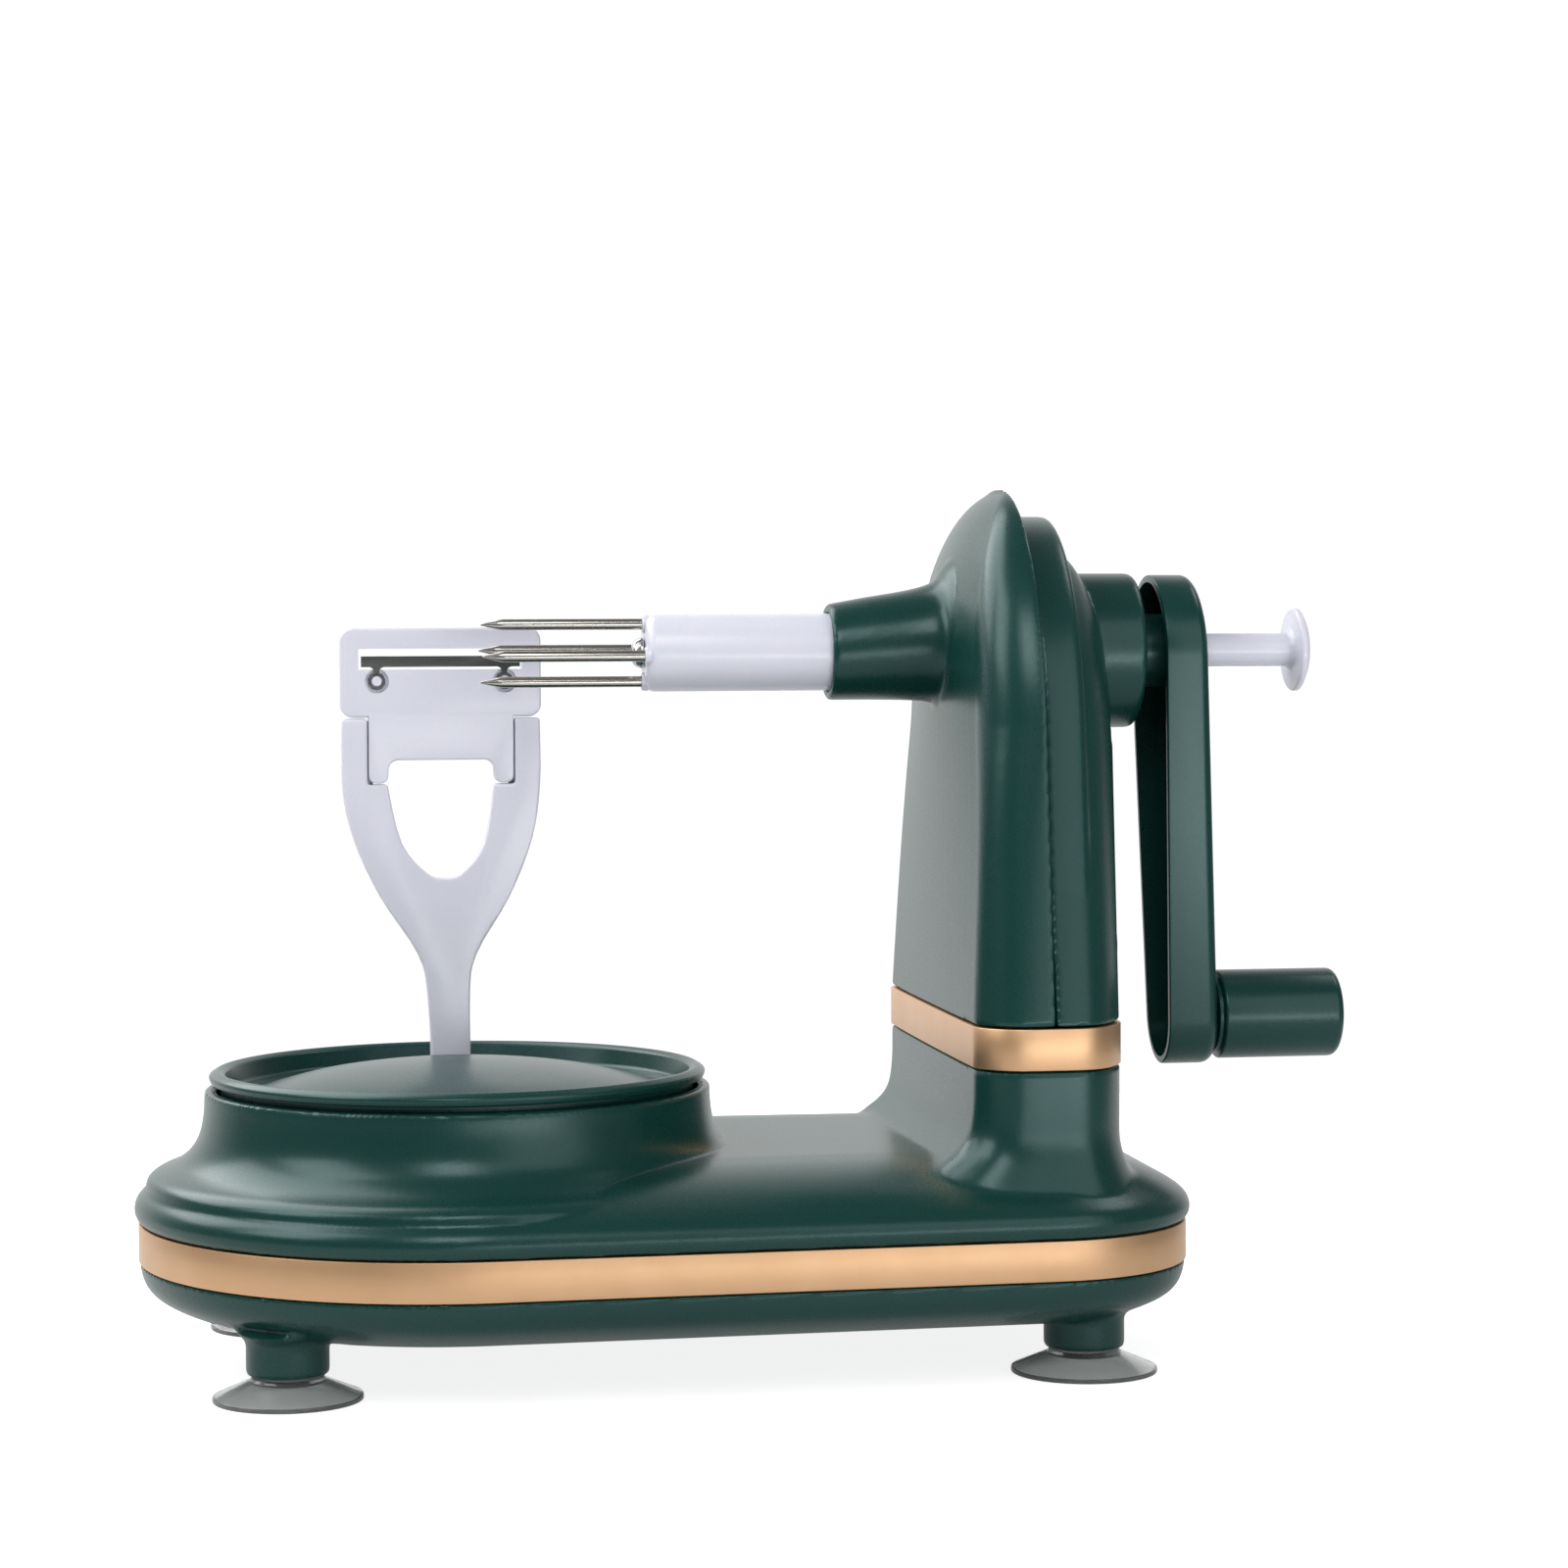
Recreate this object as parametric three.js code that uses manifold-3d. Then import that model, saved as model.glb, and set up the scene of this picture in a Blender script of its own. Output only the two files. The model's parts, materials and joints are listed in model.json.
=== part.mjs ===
// Hand-cranked apple peeler: a four-prong fork turned by a crank, and a geared turntable whose sprung arm
// carries the peeling blade round the apple.
// Millimetres, +Z up, X along the machine, Y across it. While it is built, X = 0 is the turntable's axis and
// Z = 0 is the table. The whole machine is then moved along X so that its origin is under its middle.

import * as THREE from 'three';
import { mergeVertices } from 'three/addons/utils/BufferGeometryUtils.js';
import Module from 'manifold-3d';

const wasm = await Module();
wasm.setup();

// ---------------------------------------------------------------- driving dimensions

const GAP = 0.3;                  // between pieces that touch, or that run in each other
const WALL = 2.6;                 // moulded shells
const TRIM_WALL = 2.2;            // gold bands

// Base: the hull of one large circle round the turntable's axis and two corner circles under the tower.
const BASE_END_R = 85.4;
const BASE_CORNER_R = 44.8;
const BASE_CORNER_X = 146;
const BASE_CORNER_Y = 35;
const BASE_BOTTOM_Z = 15.5;
const BAND_BOTTOM_Z = 28.5;
const BAND_TOP_Z = 38.9;
const DECK_Z = 57.4;

// Collar round the turntable.
const COLLAR_TOP_Z = 73.5;
const COLLAR_BORE_R = 64.5;

// Tower.
const SEAM_X = 149;               // plane where the front and rear tower shells meet
const TOWER_BAND_BOTTOM_Z = 81.4;
const TOWER_BAND_TOP_Z = 92.2;
const TOWER_FACE_X = 129.6;       // side towards the fork
const TOWER_BACK_X = 170;          // at the tower's band
const TOWER_BACK_LEAN = 3;         // how much farther back the shoulder is
const TOWER_SHOULDER_Z = 170;     // where the straight sides turn into the arch
const TOWER_TOP_Z = 233.5;
const CURL_Z = 188;                // where the face starts to curl back to the top
const TOWER_SEAM_HALF = 70;
const TOWER_FACE_HALF = 59.6;
const TOWER_BACK_HALF = 66;
const FACE_CORNER_R = 3.5;
const BACK_CORNER_R = 15;
const REAR_ARCH_TOP_Z = 226;
const REAR_DOME_TOP_Z = 217;

// Fork and crank line.
const AXIS_Z = 189.3;
const SNOUT_TIP_X = 101;
const SNOUT_TIP_R = 13.1;
const SNOUT_ROOT_R = 18.6;
const BOSS_R = 21.2;
const BOSS_END_X = 186;
const HUB_FACE_X = 51;
const HUB_END_X = 112;
const HUB_R = 10.5;
const PRONG_R = 1.5;
const PRONG_CIRCLE_R = 7.8;
const PRONG_TIP_X = 6.8;
const PRONG_TWIST = THREE.MathUtils.degToRad(6);
const SHAFT_R = 7;
const ROD_R = 4.6;
const BUTTON_R = 11.5;
const BUTTON_X = 231.5;           // inner face of the ejector's button
const BUTTON_THICK = 4.2;

// Crank. Its rim and face are placed at the knob, and each leans by this much to the tower at the shaft.
const CRANK_RIM_X = 194.3;
const CRANK_FACE_X = 207.1;
const CRANK_RIM_LEAN = 2.5;
const CRANK_FACE_LEAN = 4.5;
const CRANK_TOP_R = 20.8;
const CRANK_END_R = 13.4;
const CRANK_WALL = 2.2;
const KNOB_Z = 88.3;
const KNOB_R = 12.25;
const KNOB_X = 208.7;
const KNOB_END_X = 243.9;
const AXLE_R = 2.5;
const AXLE_END_X = 240.6;

// Gears: module 2, one worm start, 12:1 and then 48:12 through an idler.
const MODULE = 2;
const PINION_TEETH = 12;
const IDLER_TEETH = 46;
const TABLE_TEETH = 48;
const WHEEL_TEETH = 12;
const WORM_PITCH_R = 11;
const GEAR_Z = 46;                // underside of the gears in the base
const GEAR_THICK = 6;
const WHEEL_THICK = 8;
const LAYSHAFT_R = 3;
const LAYSHAFT_X = 150;

// Turntable and blade arm.
const TABLE_R = 66.7;
const TABLE_RIM_Z = 78.7;
const DOME_R = 55;
const DOME_TOP_Z = 80.4;
const ARM_Y = 32;
const ARM_THICK = 7;
const PIVOT_Z = 65.5;
const PIN_R = 1.5;
const ARM_LEAN = -2;              // sideways set of the arm's top
const ARM_HALF = 27.3;
const CARTRIDGE_SEAT_Z = 153.3;
const CARTRIDGE_SHOULDER_Z = 171.8;
const CARTRIDGE_TOP_Z = 196.5;

// Feet.
const POST_R = 10.6;
const POST_BOTTOM_Z = 6.5;
const CUP_R = 19.2;
const FEET = [[-47.4, -52.8], [-47.4, 52.8], [160.4, -51.2], [160.4, 51.2]];

const SHELL_BULGE = 1.2;          // the upper shell's widest level stands this far outside the band
const ORIGIN_X = (KNOB_END_X - BASE_END_R - SHELL_BULGE) / 2;

// ---------------------------------------------------------------- materials

function finish(color, roughness, metalness = 0) {
  return () => new THREE.MeshStandardMaterial({ color, roughness, metalness });
}

const green = finish(0x1b4842, 0.35);
const white = finish(0xe6e6ee, 0.3);
const gold = finish(0xcda57d, 0.35, 0.9);
const steel = finish(0x96918a, 0.3, 1);
const nylon = finish(0xd8d2c0, 0.5);
const bronze = finish(0xa8824e, 0.4, 1);
const clear = finish(0xb4b8b6, 0.2);

// ---------------------------------------------------------------- solid helpers

// One closed geometry from positions and triangles, with its faces pointing out.
function closedGeometry(positions, triangles) {
  let geometry = new THREE.BufferGeometry();
  geometry.setAttribute('position', new THREE.Float32BufferAttribute(positions, 3));
  geometry.setIndex(triangles);
  geometry = mergeVertices(geometry, 1e-4);
  const index = geometry.index.array;
  const kept = [];
  let volume = 0;
  const [a, b, c] = [new THREE.Vector3(), new THREE.Vector3(), new THREE.Vector3()];
  for (let i = 0; i < index.length; i += 3) {
    const [p, q, r] = [index[i], index[i + 1], index[i + 2]];
    if (p === q || q === r || r === p) continue;
    kept.push(p, q, r);
    a.fromBufferAttribute(geometry.attributes.position, p);
    b.fromBufferAttribute(geometry.attributes.position, q);
    c.fromBufferAttribute(geometry.attributes.position, r);
    volume += a.dot(b.cross(c));
  }
  if (volume < 0) {
    for (let i = 0; i < kept.length; i += 3) {
      [kept[i + 1], kept[i + 2]] = [kept[i + 2], kept[i + 1]];
    }
  }
  geometry.setIndex(kept);
  return geometry;
}

function solid(source) {
  const indexed = source.index ? source : mergeVertices(source);
  const geometry = closedGeometry([...indexed.attributes.position.array], [...indexed.index.array]);
  return new wasm.Manifold(new wasm.Mesh({
    numProp: 3,
    vertProperties: new Float32Array(geometry.attributes.position.array),
    triVerts: new Uint32Array(geometry.index.array),
  }));
}

function join(pieces) {
  return pieces.reduce((whole, piece) => whole.add(piece));
}

function cut(body, pieces) {
  return pieces.reduce((whole, piece) => whole.subtract(piece), body);
}

function toGeometry(manifold) {
  const mesh = manifold.getMesh();
  const geometry = new THREE.BufferGeometry();
  geometry.setAttribute('position', new THREE.Float32BufferAttribute(mesh.vertProperties, 3));
  geometry.setIndex([...mesh.triVerts]);
  return geometry;
}

// A skin through rings with equal numbers of points, closed by a fan at each end.
function loft(rings) {
  const count = rings[0].length;
  const positions = [];
  const triangles = [];
  for (const ring of rings) {
    for (const point of ring) positions.push(...point);
  }
  for (let level = 0; level + 1 < rings.length; level += 1) {
    for (let i = 0; i < count; i += 1) {
      const next = (i + 1) % count;
      const low = level * count;
      const high = low + count;
      triangles.push(low + i, low + next, high + next, low + i, high + next, high + i);
    }
  }
  for (const [level, flip] of [[0, true], [rings.length - 1, false]]) {
    const centre = [0, 1, 2].map((k) => rings[level].reduce((sum, point) => sum + point[k], 0) / count);
    const hub = positions.length / 3;
    positions.push(...centre);
    for (let i = 0; i < count; i += 1) {
      const from = level * count + i;
      const to = level * count + (i + 1) % count;
      triangles.push(hub, flip ? to : from, flip ? from : to);
    }
  }
  return solid(closedGeometry(positions, triangles));
}

// A turned solid about Z. The profile is a list of [radius, z].
function turned(profile, segments = 20) {
  const points = profile.map(([r, z]) => new THREE.Vector2(r, z));
  return solid(new THREE.LatheGeometry(points, segments).rotateX(Math.PI / 2));
}

// A turned solid about the fork's line. The profile is a list of [radius, x].
function turnedX(profile, segments = 20, z = AXIS_Z, y = 0) {
  const points = profile.map(([r, x]) => new THREE.Vector2(r, x));
  const geometry = new THREE.LatheGeometry(points, segments);
  return solid(geometry.rotateZ(-Math.PI / 2).translate(0, y, z));
}

function rodX(radius, from, to, z = AXIS_Z, y = 0, segments = 12) {
  return turnedX([[0, from], [radius, from], [radius, to], [0, to]], segments, z, y);
}

function rodZ(radius, from, to, x = 0, y = 0, segments = 12) {
  return turned([[0, from], [radius, from], [radius, to], [0, to]], segments).translate([x, y, 0]);
}

// A cutter for a round hole: its flats, not its corners, are at the radius.
function boreX(radius, from, to, z = AXIS_Z, y = 0, segments = 16) {
  return rodX(radius / Math.cos(Math.PI / segments), from, to, z, y, segments);
}

function boreZ(radius, from, to, x = 0, y = 0, segments = 16) {
  return rodZ(radius / Math.cos(Math.PI / segments), from, to, x, y, segments);
}

function tube(outer, inner, from, to, segments = 16) {
  return turned([[inner, from], [outer, from], [outer, to], [inner, to], [inner, from]], segments);
}

function box(x0, x1, y0, y1, z0, z1) {
  const geometry = new THREE.BoxGeometry(x1 - x0, y1 - y0, z1 - z0);
  return solid(geometry.translate((x0 + x1) / 2, (y0 + y1) / 2, (z0 + z1) / 2));
}

// An outline of [x, z] points, given thickness from y0 to y1.
function plateXZ(outline, y0, y1) {
  const shape = new THREE.Shape(outline.map(([x, z]) => new THREE.Vector2(x, z)));
  const geometry = new THREE.ExtrudeGeometry(shape, { depth: y1 - y0, bevelEnabled: false });
  return solid(geometry.rotateX(Math.PI / 2).translate(0, y1, 0));
}

function lerp(a, b, t) {
  return a + (b - a) * t;
}

// Value at z on a line of [z, value] pairs.
function along(pairs, z) {
  if (z <= pairs[0][0]) return pairs[0][1];
  for (let i = 1; i < pairs.length; i += 1) {
    const [z0, v0] = pairs[i - 1];
    const [z1, v1] = pairs[i];
    if (z <= z1) return lerp(v0, v1, (z - z0) / (z1 - z0));
  }
  return pairs.at(-1)[1];
}

// ---------------------------------------------------------------- scene graph

const machine = new THREE.Group();
machine.position.x = -ORIGIN_X;

function add(name, shape, material, position = [0, 0, 0]) {
  const geometry = shape.isBufferGeometry ? shape : toGeometry(shape);
  const mesh = new THREE.Mesh(geometry, material());
  mesh.name = name;
  mesh.position.set(...position);
  machine.add(mesh);
  return mesh;
}

// ---------------------------------------------------------------- base outline

// The side lines touch the end circle and the corner circles at this angle from +X.
const SIDE_ANGLE = Math.atan2(BASE_CORNER_Y, BASE_CORNER_X)
  + Math.acos((BASE_END_R - BASE_CORNER_R) / Math.hypot(BASE_CORNER_X, BASE_CORNER_Y));

function baseRing(z, inset) {
  const ring = [];
  const arc = (x, y, radius, from, to, steps) => {
    for (let i = 0; i <= steps; i += 1) {
      const angle = lerp(from, to, i / steps);
      ring.push([x + (radius - inset) * Math.cos(angle), y + (radius - inset) * Math.sin(angle), z]);
    }
  };
  arc(BASE_CORNER_X, -BASE_CORNER_Y, BASE_CORNER_R, -SIDE_ANGLE, 0, 5);
  arc(BASE_CORNER_X, BASE_CORNER_Y, BASE_CORNER_R, 0, SIDE_ANGLE, 5);
  arc(0, 0, BASE_END_R, SIDE_ANGLE, 2 * Math.PI - SIDE_ANGLE, 18);
  return ring;
}

// A solid from [z, inset] pairs, lowest first.
function baseLoft(levels) {
  return loft(levels.map(([z, inset]) => baseRing(z, inset)));
}

// ---------------------------------------------------------------- tower slices

// Half a horizontal slice of the tower, from the seam plane out to one face and back. Its sides bow out, its
// two corners are rounded, and its face is slightly crowned.
function halfSlice({ z, seamX, seamHalf, endX, endHalf, crown, radius }) {
  const faceSteps = 2;
  const cornerSteps = 4;
  const sideSteps = 4;
  const toward = Math.sign(endX - seamX);
  const faceX = (y) => endX + toward * crown * (1 - (y / endHalf) ** 2);
  const sideX = endX - seamX;
  const round = Math.min(radius, endHalf * 0.96, Math.abs(sideX) * 0.96);
  const sideStart = [endX - toward * round, lerp(endHalf, seamHalf, round / Math.abs(sideX))];
  const faceEnd = [faceX(endHalf - round), endHalf - round];
  const bow = 0.73 * (seamHalf - endHalf) * (1 - round / Math.abs(sideX));
  const half = [];
  for (let i = 0; i <= sideSteps; i += 1) {
    const t = i / sideSteps;
    half.push([lerp(seamX, sideStart[0], t), lerp(seamHalf, sideStart[1], t) + 4 * t * (1 - t) * bow]);
  }
  for (let i = 1; i <= cornerSteps; i += 1) {
    const t = i / cornerSteps;
    half.push([0, 1].map((k) => (1 - t) ** 2 * sideStart[k]
      + 2 * t * (1 - t) * [endX, endHalf][k] + t ** 2 * faceEnd[k]));
  }
  for (let i = 1; i < faceSteps; i += 1) {
    const y = faceEnd[1] * (1 - i / faceSteps);
    half.push([faceX(y), y]);
  }
  const far = half.slice().map(([x, y]) => [x, -y, z]).reverse();
  return [...half.map(([x, y]) => [x, y, z]), [faceX(0), 0, z], ...far];
}

// Arch: full width up to the shoulder, then an ellipse that closes at the top.
function archWidth(z, straight, topZ) {
  if (z <= TOWER_SHOULDER_Z) return along(straight, z);
  const rise = Math.min((z - TOWER_SHOULDER_Z) / (topZ - TOWER_SHOULDER_Z), 1);
  return straight.at(-1)[1] * Math.sqrt(1 - rise ** 2);
}

const FRONT_SEAM_HALF = [[TOWER_BAND_TOP_Z, TOWER_SEAM_HALF], [TOWER_SHOULDER_Z, 61]];
const FRONT_FACE_HALF = [[TOWER_BAND_TOP_Z, TOWER_FACE_HALF], [TOWER_SHOULDER_Z, 54]];
const ARCH_LEVELS = [0, 0.4, 0.7, 0.88, 0.97, 1];

function archZs(bottom, top) {
  const straight = [bottom, (bottom + TOWER_SHOULDER_Z) / 2];
  return [...straight, ...ARCH_LEVELS.map((t) => lerp(TOWER_SHOULDER_Z, top, t))];
}

function frontSlice(z, inset, seamX, topZ) {
  const rise = THREE.MathUtils.clamp((z - CURL_Z) / (topZ - CURL_Z), 0, 1);
  const face = lerp(SEAM_X - 1.5, TOWER_FACE_X + inset, Math.sqrt(1 - rise ** 2));
  const lean = along([[TOWER_BAND_TOP_Z, 0], [TOWER_SHOULDER_Z, 3.6]], z);
  const seamHalf = Math.max(archWidth(z, FRONT_SEAM_HALF, topZ) - inset, 0.8);
  const faceHalf = Math.min(archWidth(z, FRONT_FACE_HALF, topZ) - inset, seamHalf * 0.94);
  return halfSlice({
    z,
    seamX,
    seamHalf,
    endX: Math.min(face + lean, SEAM_X - 1),
    endHalf: Math.max(faceHalf, 0.7),
    crown: along([[TOWER_BAND_TOP_Z, 0.4], [TOWER_SHOULDER_Z, 2.4]], z) * Math.sqrt(1 - rise ** 2),
    radius: along([[TOWER_BAND_TOP_Z, FACE_CORNER_R], [150, 7], [TOWER_SHOULDER_Z, 12], [208, 40]], z),
  });
}

const REAR_ARCH_HALF = [[TOWER_BAND_TOP_Z, 68], [TOWER_SHOULDER_Z, 56]];
const REAR_DOME_HALF = [[TOWER_BAND_TOP_Z, 69.6], [TOWER_SHOULDER_Z, 51]];

function rearSlice(z, inset, seamX, endX, widths, topZ, radius, taper) {
  const seamHalf = Math.max(archWidth(z, widths, topZ) - inset, 0.8);
  return halfSlice({
    z,
    seamX,
    seamHalf,
    endX: Math.max(endX - inset, seamX + 1),
    endHalf: Math.max(seamHalf - taper * (seamHalf / widths[0][1]), 0.7),
    crown: 0.4,
    radius,
  });
}

// The dome behind the rear arch leans back up to the shoulder, then draws in towards the boss.
function domeBackX(z) {
  const rise = THREE.MathUtils.clamp((z - TOWER_SHOULDER_Z) / (REAR_DOME_TOP_Z - TOWER_SHOULDER_Z), 0, 1);
  const lean = along([[TOWER_BAND_TOP_Z, 0], [TOWER_SHOULDER_Z, TOWER_BACK_LEAN]], z);
  return lerp(163, TOWER_BACK_X + lean, Math.sqrt(1 - rise ** 2));
}

// The foot of the tower and its band: one closed slice, the two halves joined at the seam plane.
function footRing(z, inset, flare = 0) {
  const front = halfSlice({
    z,
    seamX: SEAM_X,
    seamHalf: TOWER_SEAM_HALF - inset,
    endX: TOWER_FACE_X + inset - flare,
    endHalf: TOWER_FACE_HALF - inset,
    crown: 0.4,
    radius: FACE_CORNER_R,
  });
  const rear = halfSlice({
    z,
    seamX: SEAM_X,
    seamHalf: TOWER_SEAM_HALF - inset,
    endX: TOWER_BACK_X - inset,
    endHalf: TOWER_BACK_HALF - inset,
    crown: 0.4,
    radius: BACK_CORNER_R,
  });
  return [...front, ...rear.reverse().slice(1, -1)];
}

function footLoft(levels) {
  return loft(levels.map(([z, inset, flare]) => footRing(z, inset, flare)));
}

// ---------------------------------------------------------------- gears

const TABLE_PITCH_R = MODULE * TABLE_TEETH / 2;
const IDLER_PITCH_R = MODULE * IDLER_TEETH / 2;
const PINION_PITCH_R = MODULE * PINION_TEETH / 2;
const WHEEL_PITCH_R = MODULE * WHEEL_TEETH / 2;
const LAYSHAFT_Y = WORM_PITCH_R + WHEEL_PITCH_R;
const LAYSHAFT_REACH = Math.hypot(LAYSHAFT_X, LAYSHAFT_Y);
const TABLE_TO_IDLER = TABLE_PITCH_R + IDLER_PITCH_R;
const IDLER_TO_PINION = IDLER_PITCH_R + PINION_PITCH_R;

// The idler's centre closes the triangle between the turntable and the layshaft.
const IDLER_ANGLE = Math.atan2(LAYSHAFT_Y, LAYSHAFT_X) - Math.acos(
  (TABLE_TO_IDLER ** 2 + LAYSHAFT_REACH ** 2 - IDLER_TO_PINION ** 2)
  / (2 * TABLE_TO_IDLER * LAYSHAFT_REACH),
);
const IDLER_X = TABLE_TO_IDLER * Math.cos(IDLER_ANGLE);
const IDLER_Y = TABLE_TO_IDLER * Math.sin(IDLER_ANGLE);

// Phase of the driven gear that puts a gap of it opposite a tooth of the driving gear.
function meshPhase(phase, teeth, drivenTeeth, lineAngle) {
  const offset = phase - lineAngle;
  return lineAngle + Math.PI - (offset * teeth + Math.PI) / drivenTeeth;
}

// Straight-flanked teeth, thin enough to run with clear backlash. Widths are fractions of the pitch angle.
function gear(teeth, thickness, bore, phase) {
  const pitchR = MODULE * teeth / 2;
  const rootR = pitchR - 1.15 * MODULE;
  const tipR = pitchR + 0.9 * MODULE;
  const step = 2 * Math.PI / teeth;
  const outline = [];
  for (let tooth = 0; tooth < teeth; tooth += 1) {
    const centre = phase + tooth * step;
    for (const [radius, turn] of [[rootR, -0.27], [tipR, -0.1], [tipR, 0.1], [rootR, 0.27]]) {
      const angle = centre + turn * step;
      outline.push(new THREE.Vector2(radius * Math.cos(angle), radius * Math.sin(angle)));
    }
  }
  const shape = new THREE.Shape(outline);
  shape.holes.push(new THREE.Path().absarc(0, 0, bore, 0, 2 * Math.PI, true));
  return new THREE.ExtrudeGeometry(shape, { depth: thickness, bevelEnabled: false, curveSegments: 12 });
}

// A right-hand worm about X. Its thread leaves a gap at X = 0 on its +Y side, for a tooth of the wheel.
function worm(length, bore) {
  const lead = Math.PI * MODULE;
  const rootR = WORM_PITCH_R - 1.2 * MODULE;
  const tipR = WORM_PITCH_R + 0.9 * MODULE;
  const around = 18;
  const slices = 35;
  const positions = [];
  const triangles = [];
  for (let i = 0; i <= slices; i += 1) {
    const x = lerp(-length / 2, length / 2, i / slices);
    const fade = THREE.MathUtils.clamp((length / 2 - Math.abs(x)) / 1.5, 0, 1);
    for (let k = 0; k < around; k += 1) {
      const angle = 2 * Math.PI * k / around;
      const turn = (x / lead - k / around + 100.5) % 1;
      const height = THREE.MathUtils.clamp((0.3 - Math.abs(turn - Math.round(turn))) / 0.19, 0, 1);
      const radius = lerp(rootR, tipR, height * fade);
      positions.push(x, radius * Math.cos(angle), radius * Math.sin(angle));
    }
  }
  for (let i = 0; i < slices; i += 1) {
    for (let k = 0; k < around; k += 1) {
      const next = (k + 1) % around;
      const a = i * around;
      const b = a + around;
      triangles.push(a + k, a + next, b + next, a + k, b + next, b + k);
    }
  }
  for (const [start, flip] of [[0, true], [slices * around, false]]) {
    const hub = positions.length / 3;
    positions.push(flip ? -length / 2 : length / 2, 0, 0);
    for (let k = 0; k < around; k += 1) {
      const from = start + k;
      const to = start + (k + 1) % around;
      triangles.push(hub, flip ? to : from, flip ? from : to);
    }
  }
  const body = solid(closedGeometry(positions, triangles));
  return body.subtract(boreX(bore, -length, length, 0));
}

// ---------------------------------------------------------------- feet

for (const [index, [x, y]] of FEET.entries()) {
  const cup = turned([
    [0, POST_BOTTOM_Z + 5], [4, POST_BOTTOM_Z + 5], [4, POST_BOTTOM_Z - GAP], [9.2, POST_BOTTOM_Z - GAP],
    [9.6, 5.4], [18.4, 1.4], [CUP_R, 0.9], [CUP_R, 0], [17.2, 0], [8, 3.4], [0, 4],
  ].reverse());
  add(`suction_cup_${index + 1}`, cup, clear, [x, y, 0]);
}

// ---------------------------------------------------------------- base shells

const CASE_SCREWS = [[-62, -37], [-62, 37], [168, -40], [168, 40]];
const SCREW_R = 1.5;
const SCREW_HEAD_R = 3.5;
const SCREW_BOSS_R = 4.6;
const SPINDLE_R = 5;
const BUSH_WALL = 2.7;
const SPINDLE_BOTTOM_Z = 18.7;
const GEAR_TOP_Z = GEAR_Z + GEAR_THICK;

function lowerShell() {
  const outside = baseLoft([
    [BASE_BOTTOM_Z, 16], [18, 6.5], [22.5, 1.6], [BAND_BOTTOM_Z - GAP, 0.3],
    [BAND_BOTTOM_Z - GAP, TRIM_WALL + GAP], [BAND_TOP_Z - GAP, TRIM_WALL + GAP],
  ]);
  const cavity = baseLoft([[BASE_BOTTOM_Z + WALL, 14], [23, 5.1], [BAND_TOP_Z + 1, 5.1]]);
  const posts = FEET.map(([x, y]) => rodZ(POST_R, POST_BOTTOM_Z, 17, x, y, 20));
  const sockets = FEET.map(([x, y]) => boreZ(4 + GAP, POST_BOTTOM_Z - 1, POST_BOTTOM_Z + 5 + GAP, x, y));
  const bosses = CASE_SCREWS.map(([x, y]) => rodZ(SCREW_BOSS_R, 17, BAND_TOP_Z - 1.5, x, y));
  const supports = [
    rodZ(SPINDLE_R + BUSH_WALL + 3, 17, 44),
    rodZ(LAYSHAFT_R + 3, 17, GEAR_Z - 0.4, IDLER_X, IDLER_Y),
    rodZ(LAYSHAFT_R + 5, 17, GEAR_Z - 1, LAYSHAFT_X, LAYSHAFT_Y),
  ];
  const holes = [
    boreZ(SPINDLE_R + BUSH_WALL + GAP, SPINDLE_BOTTOM_Z, 45),
    boreZ(6.5, BASE_BOTTOM_Z - 1, SPINDLE_BOTTOM_Z + 1),
    boreZ(LAYSHAFT_R + GAP, 18, GEAR_Z, IDLER_X, IDLER_Y),
    boreZ(LAYSHAFT_R + 2 + GAP, 18.5, GEAR_Z, LAYSHAFT_X, LAYSHAFT_Y),
    ...CASE_SCREWS.map(([x, y]) => boreZ(SCREW_R + GAP, 10, 40, x, y, 8)),
    ...CASE_SCREWS.map(([x, y]) => boreZ(SCREW_HEAD_R + GAP, 10, 18.4, x, y)),
  ];
  return cut(join([outside.subtract(cavity), ...posts, ...bosses, ...supports]), [...sockets, ...holes]);
}

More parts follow.
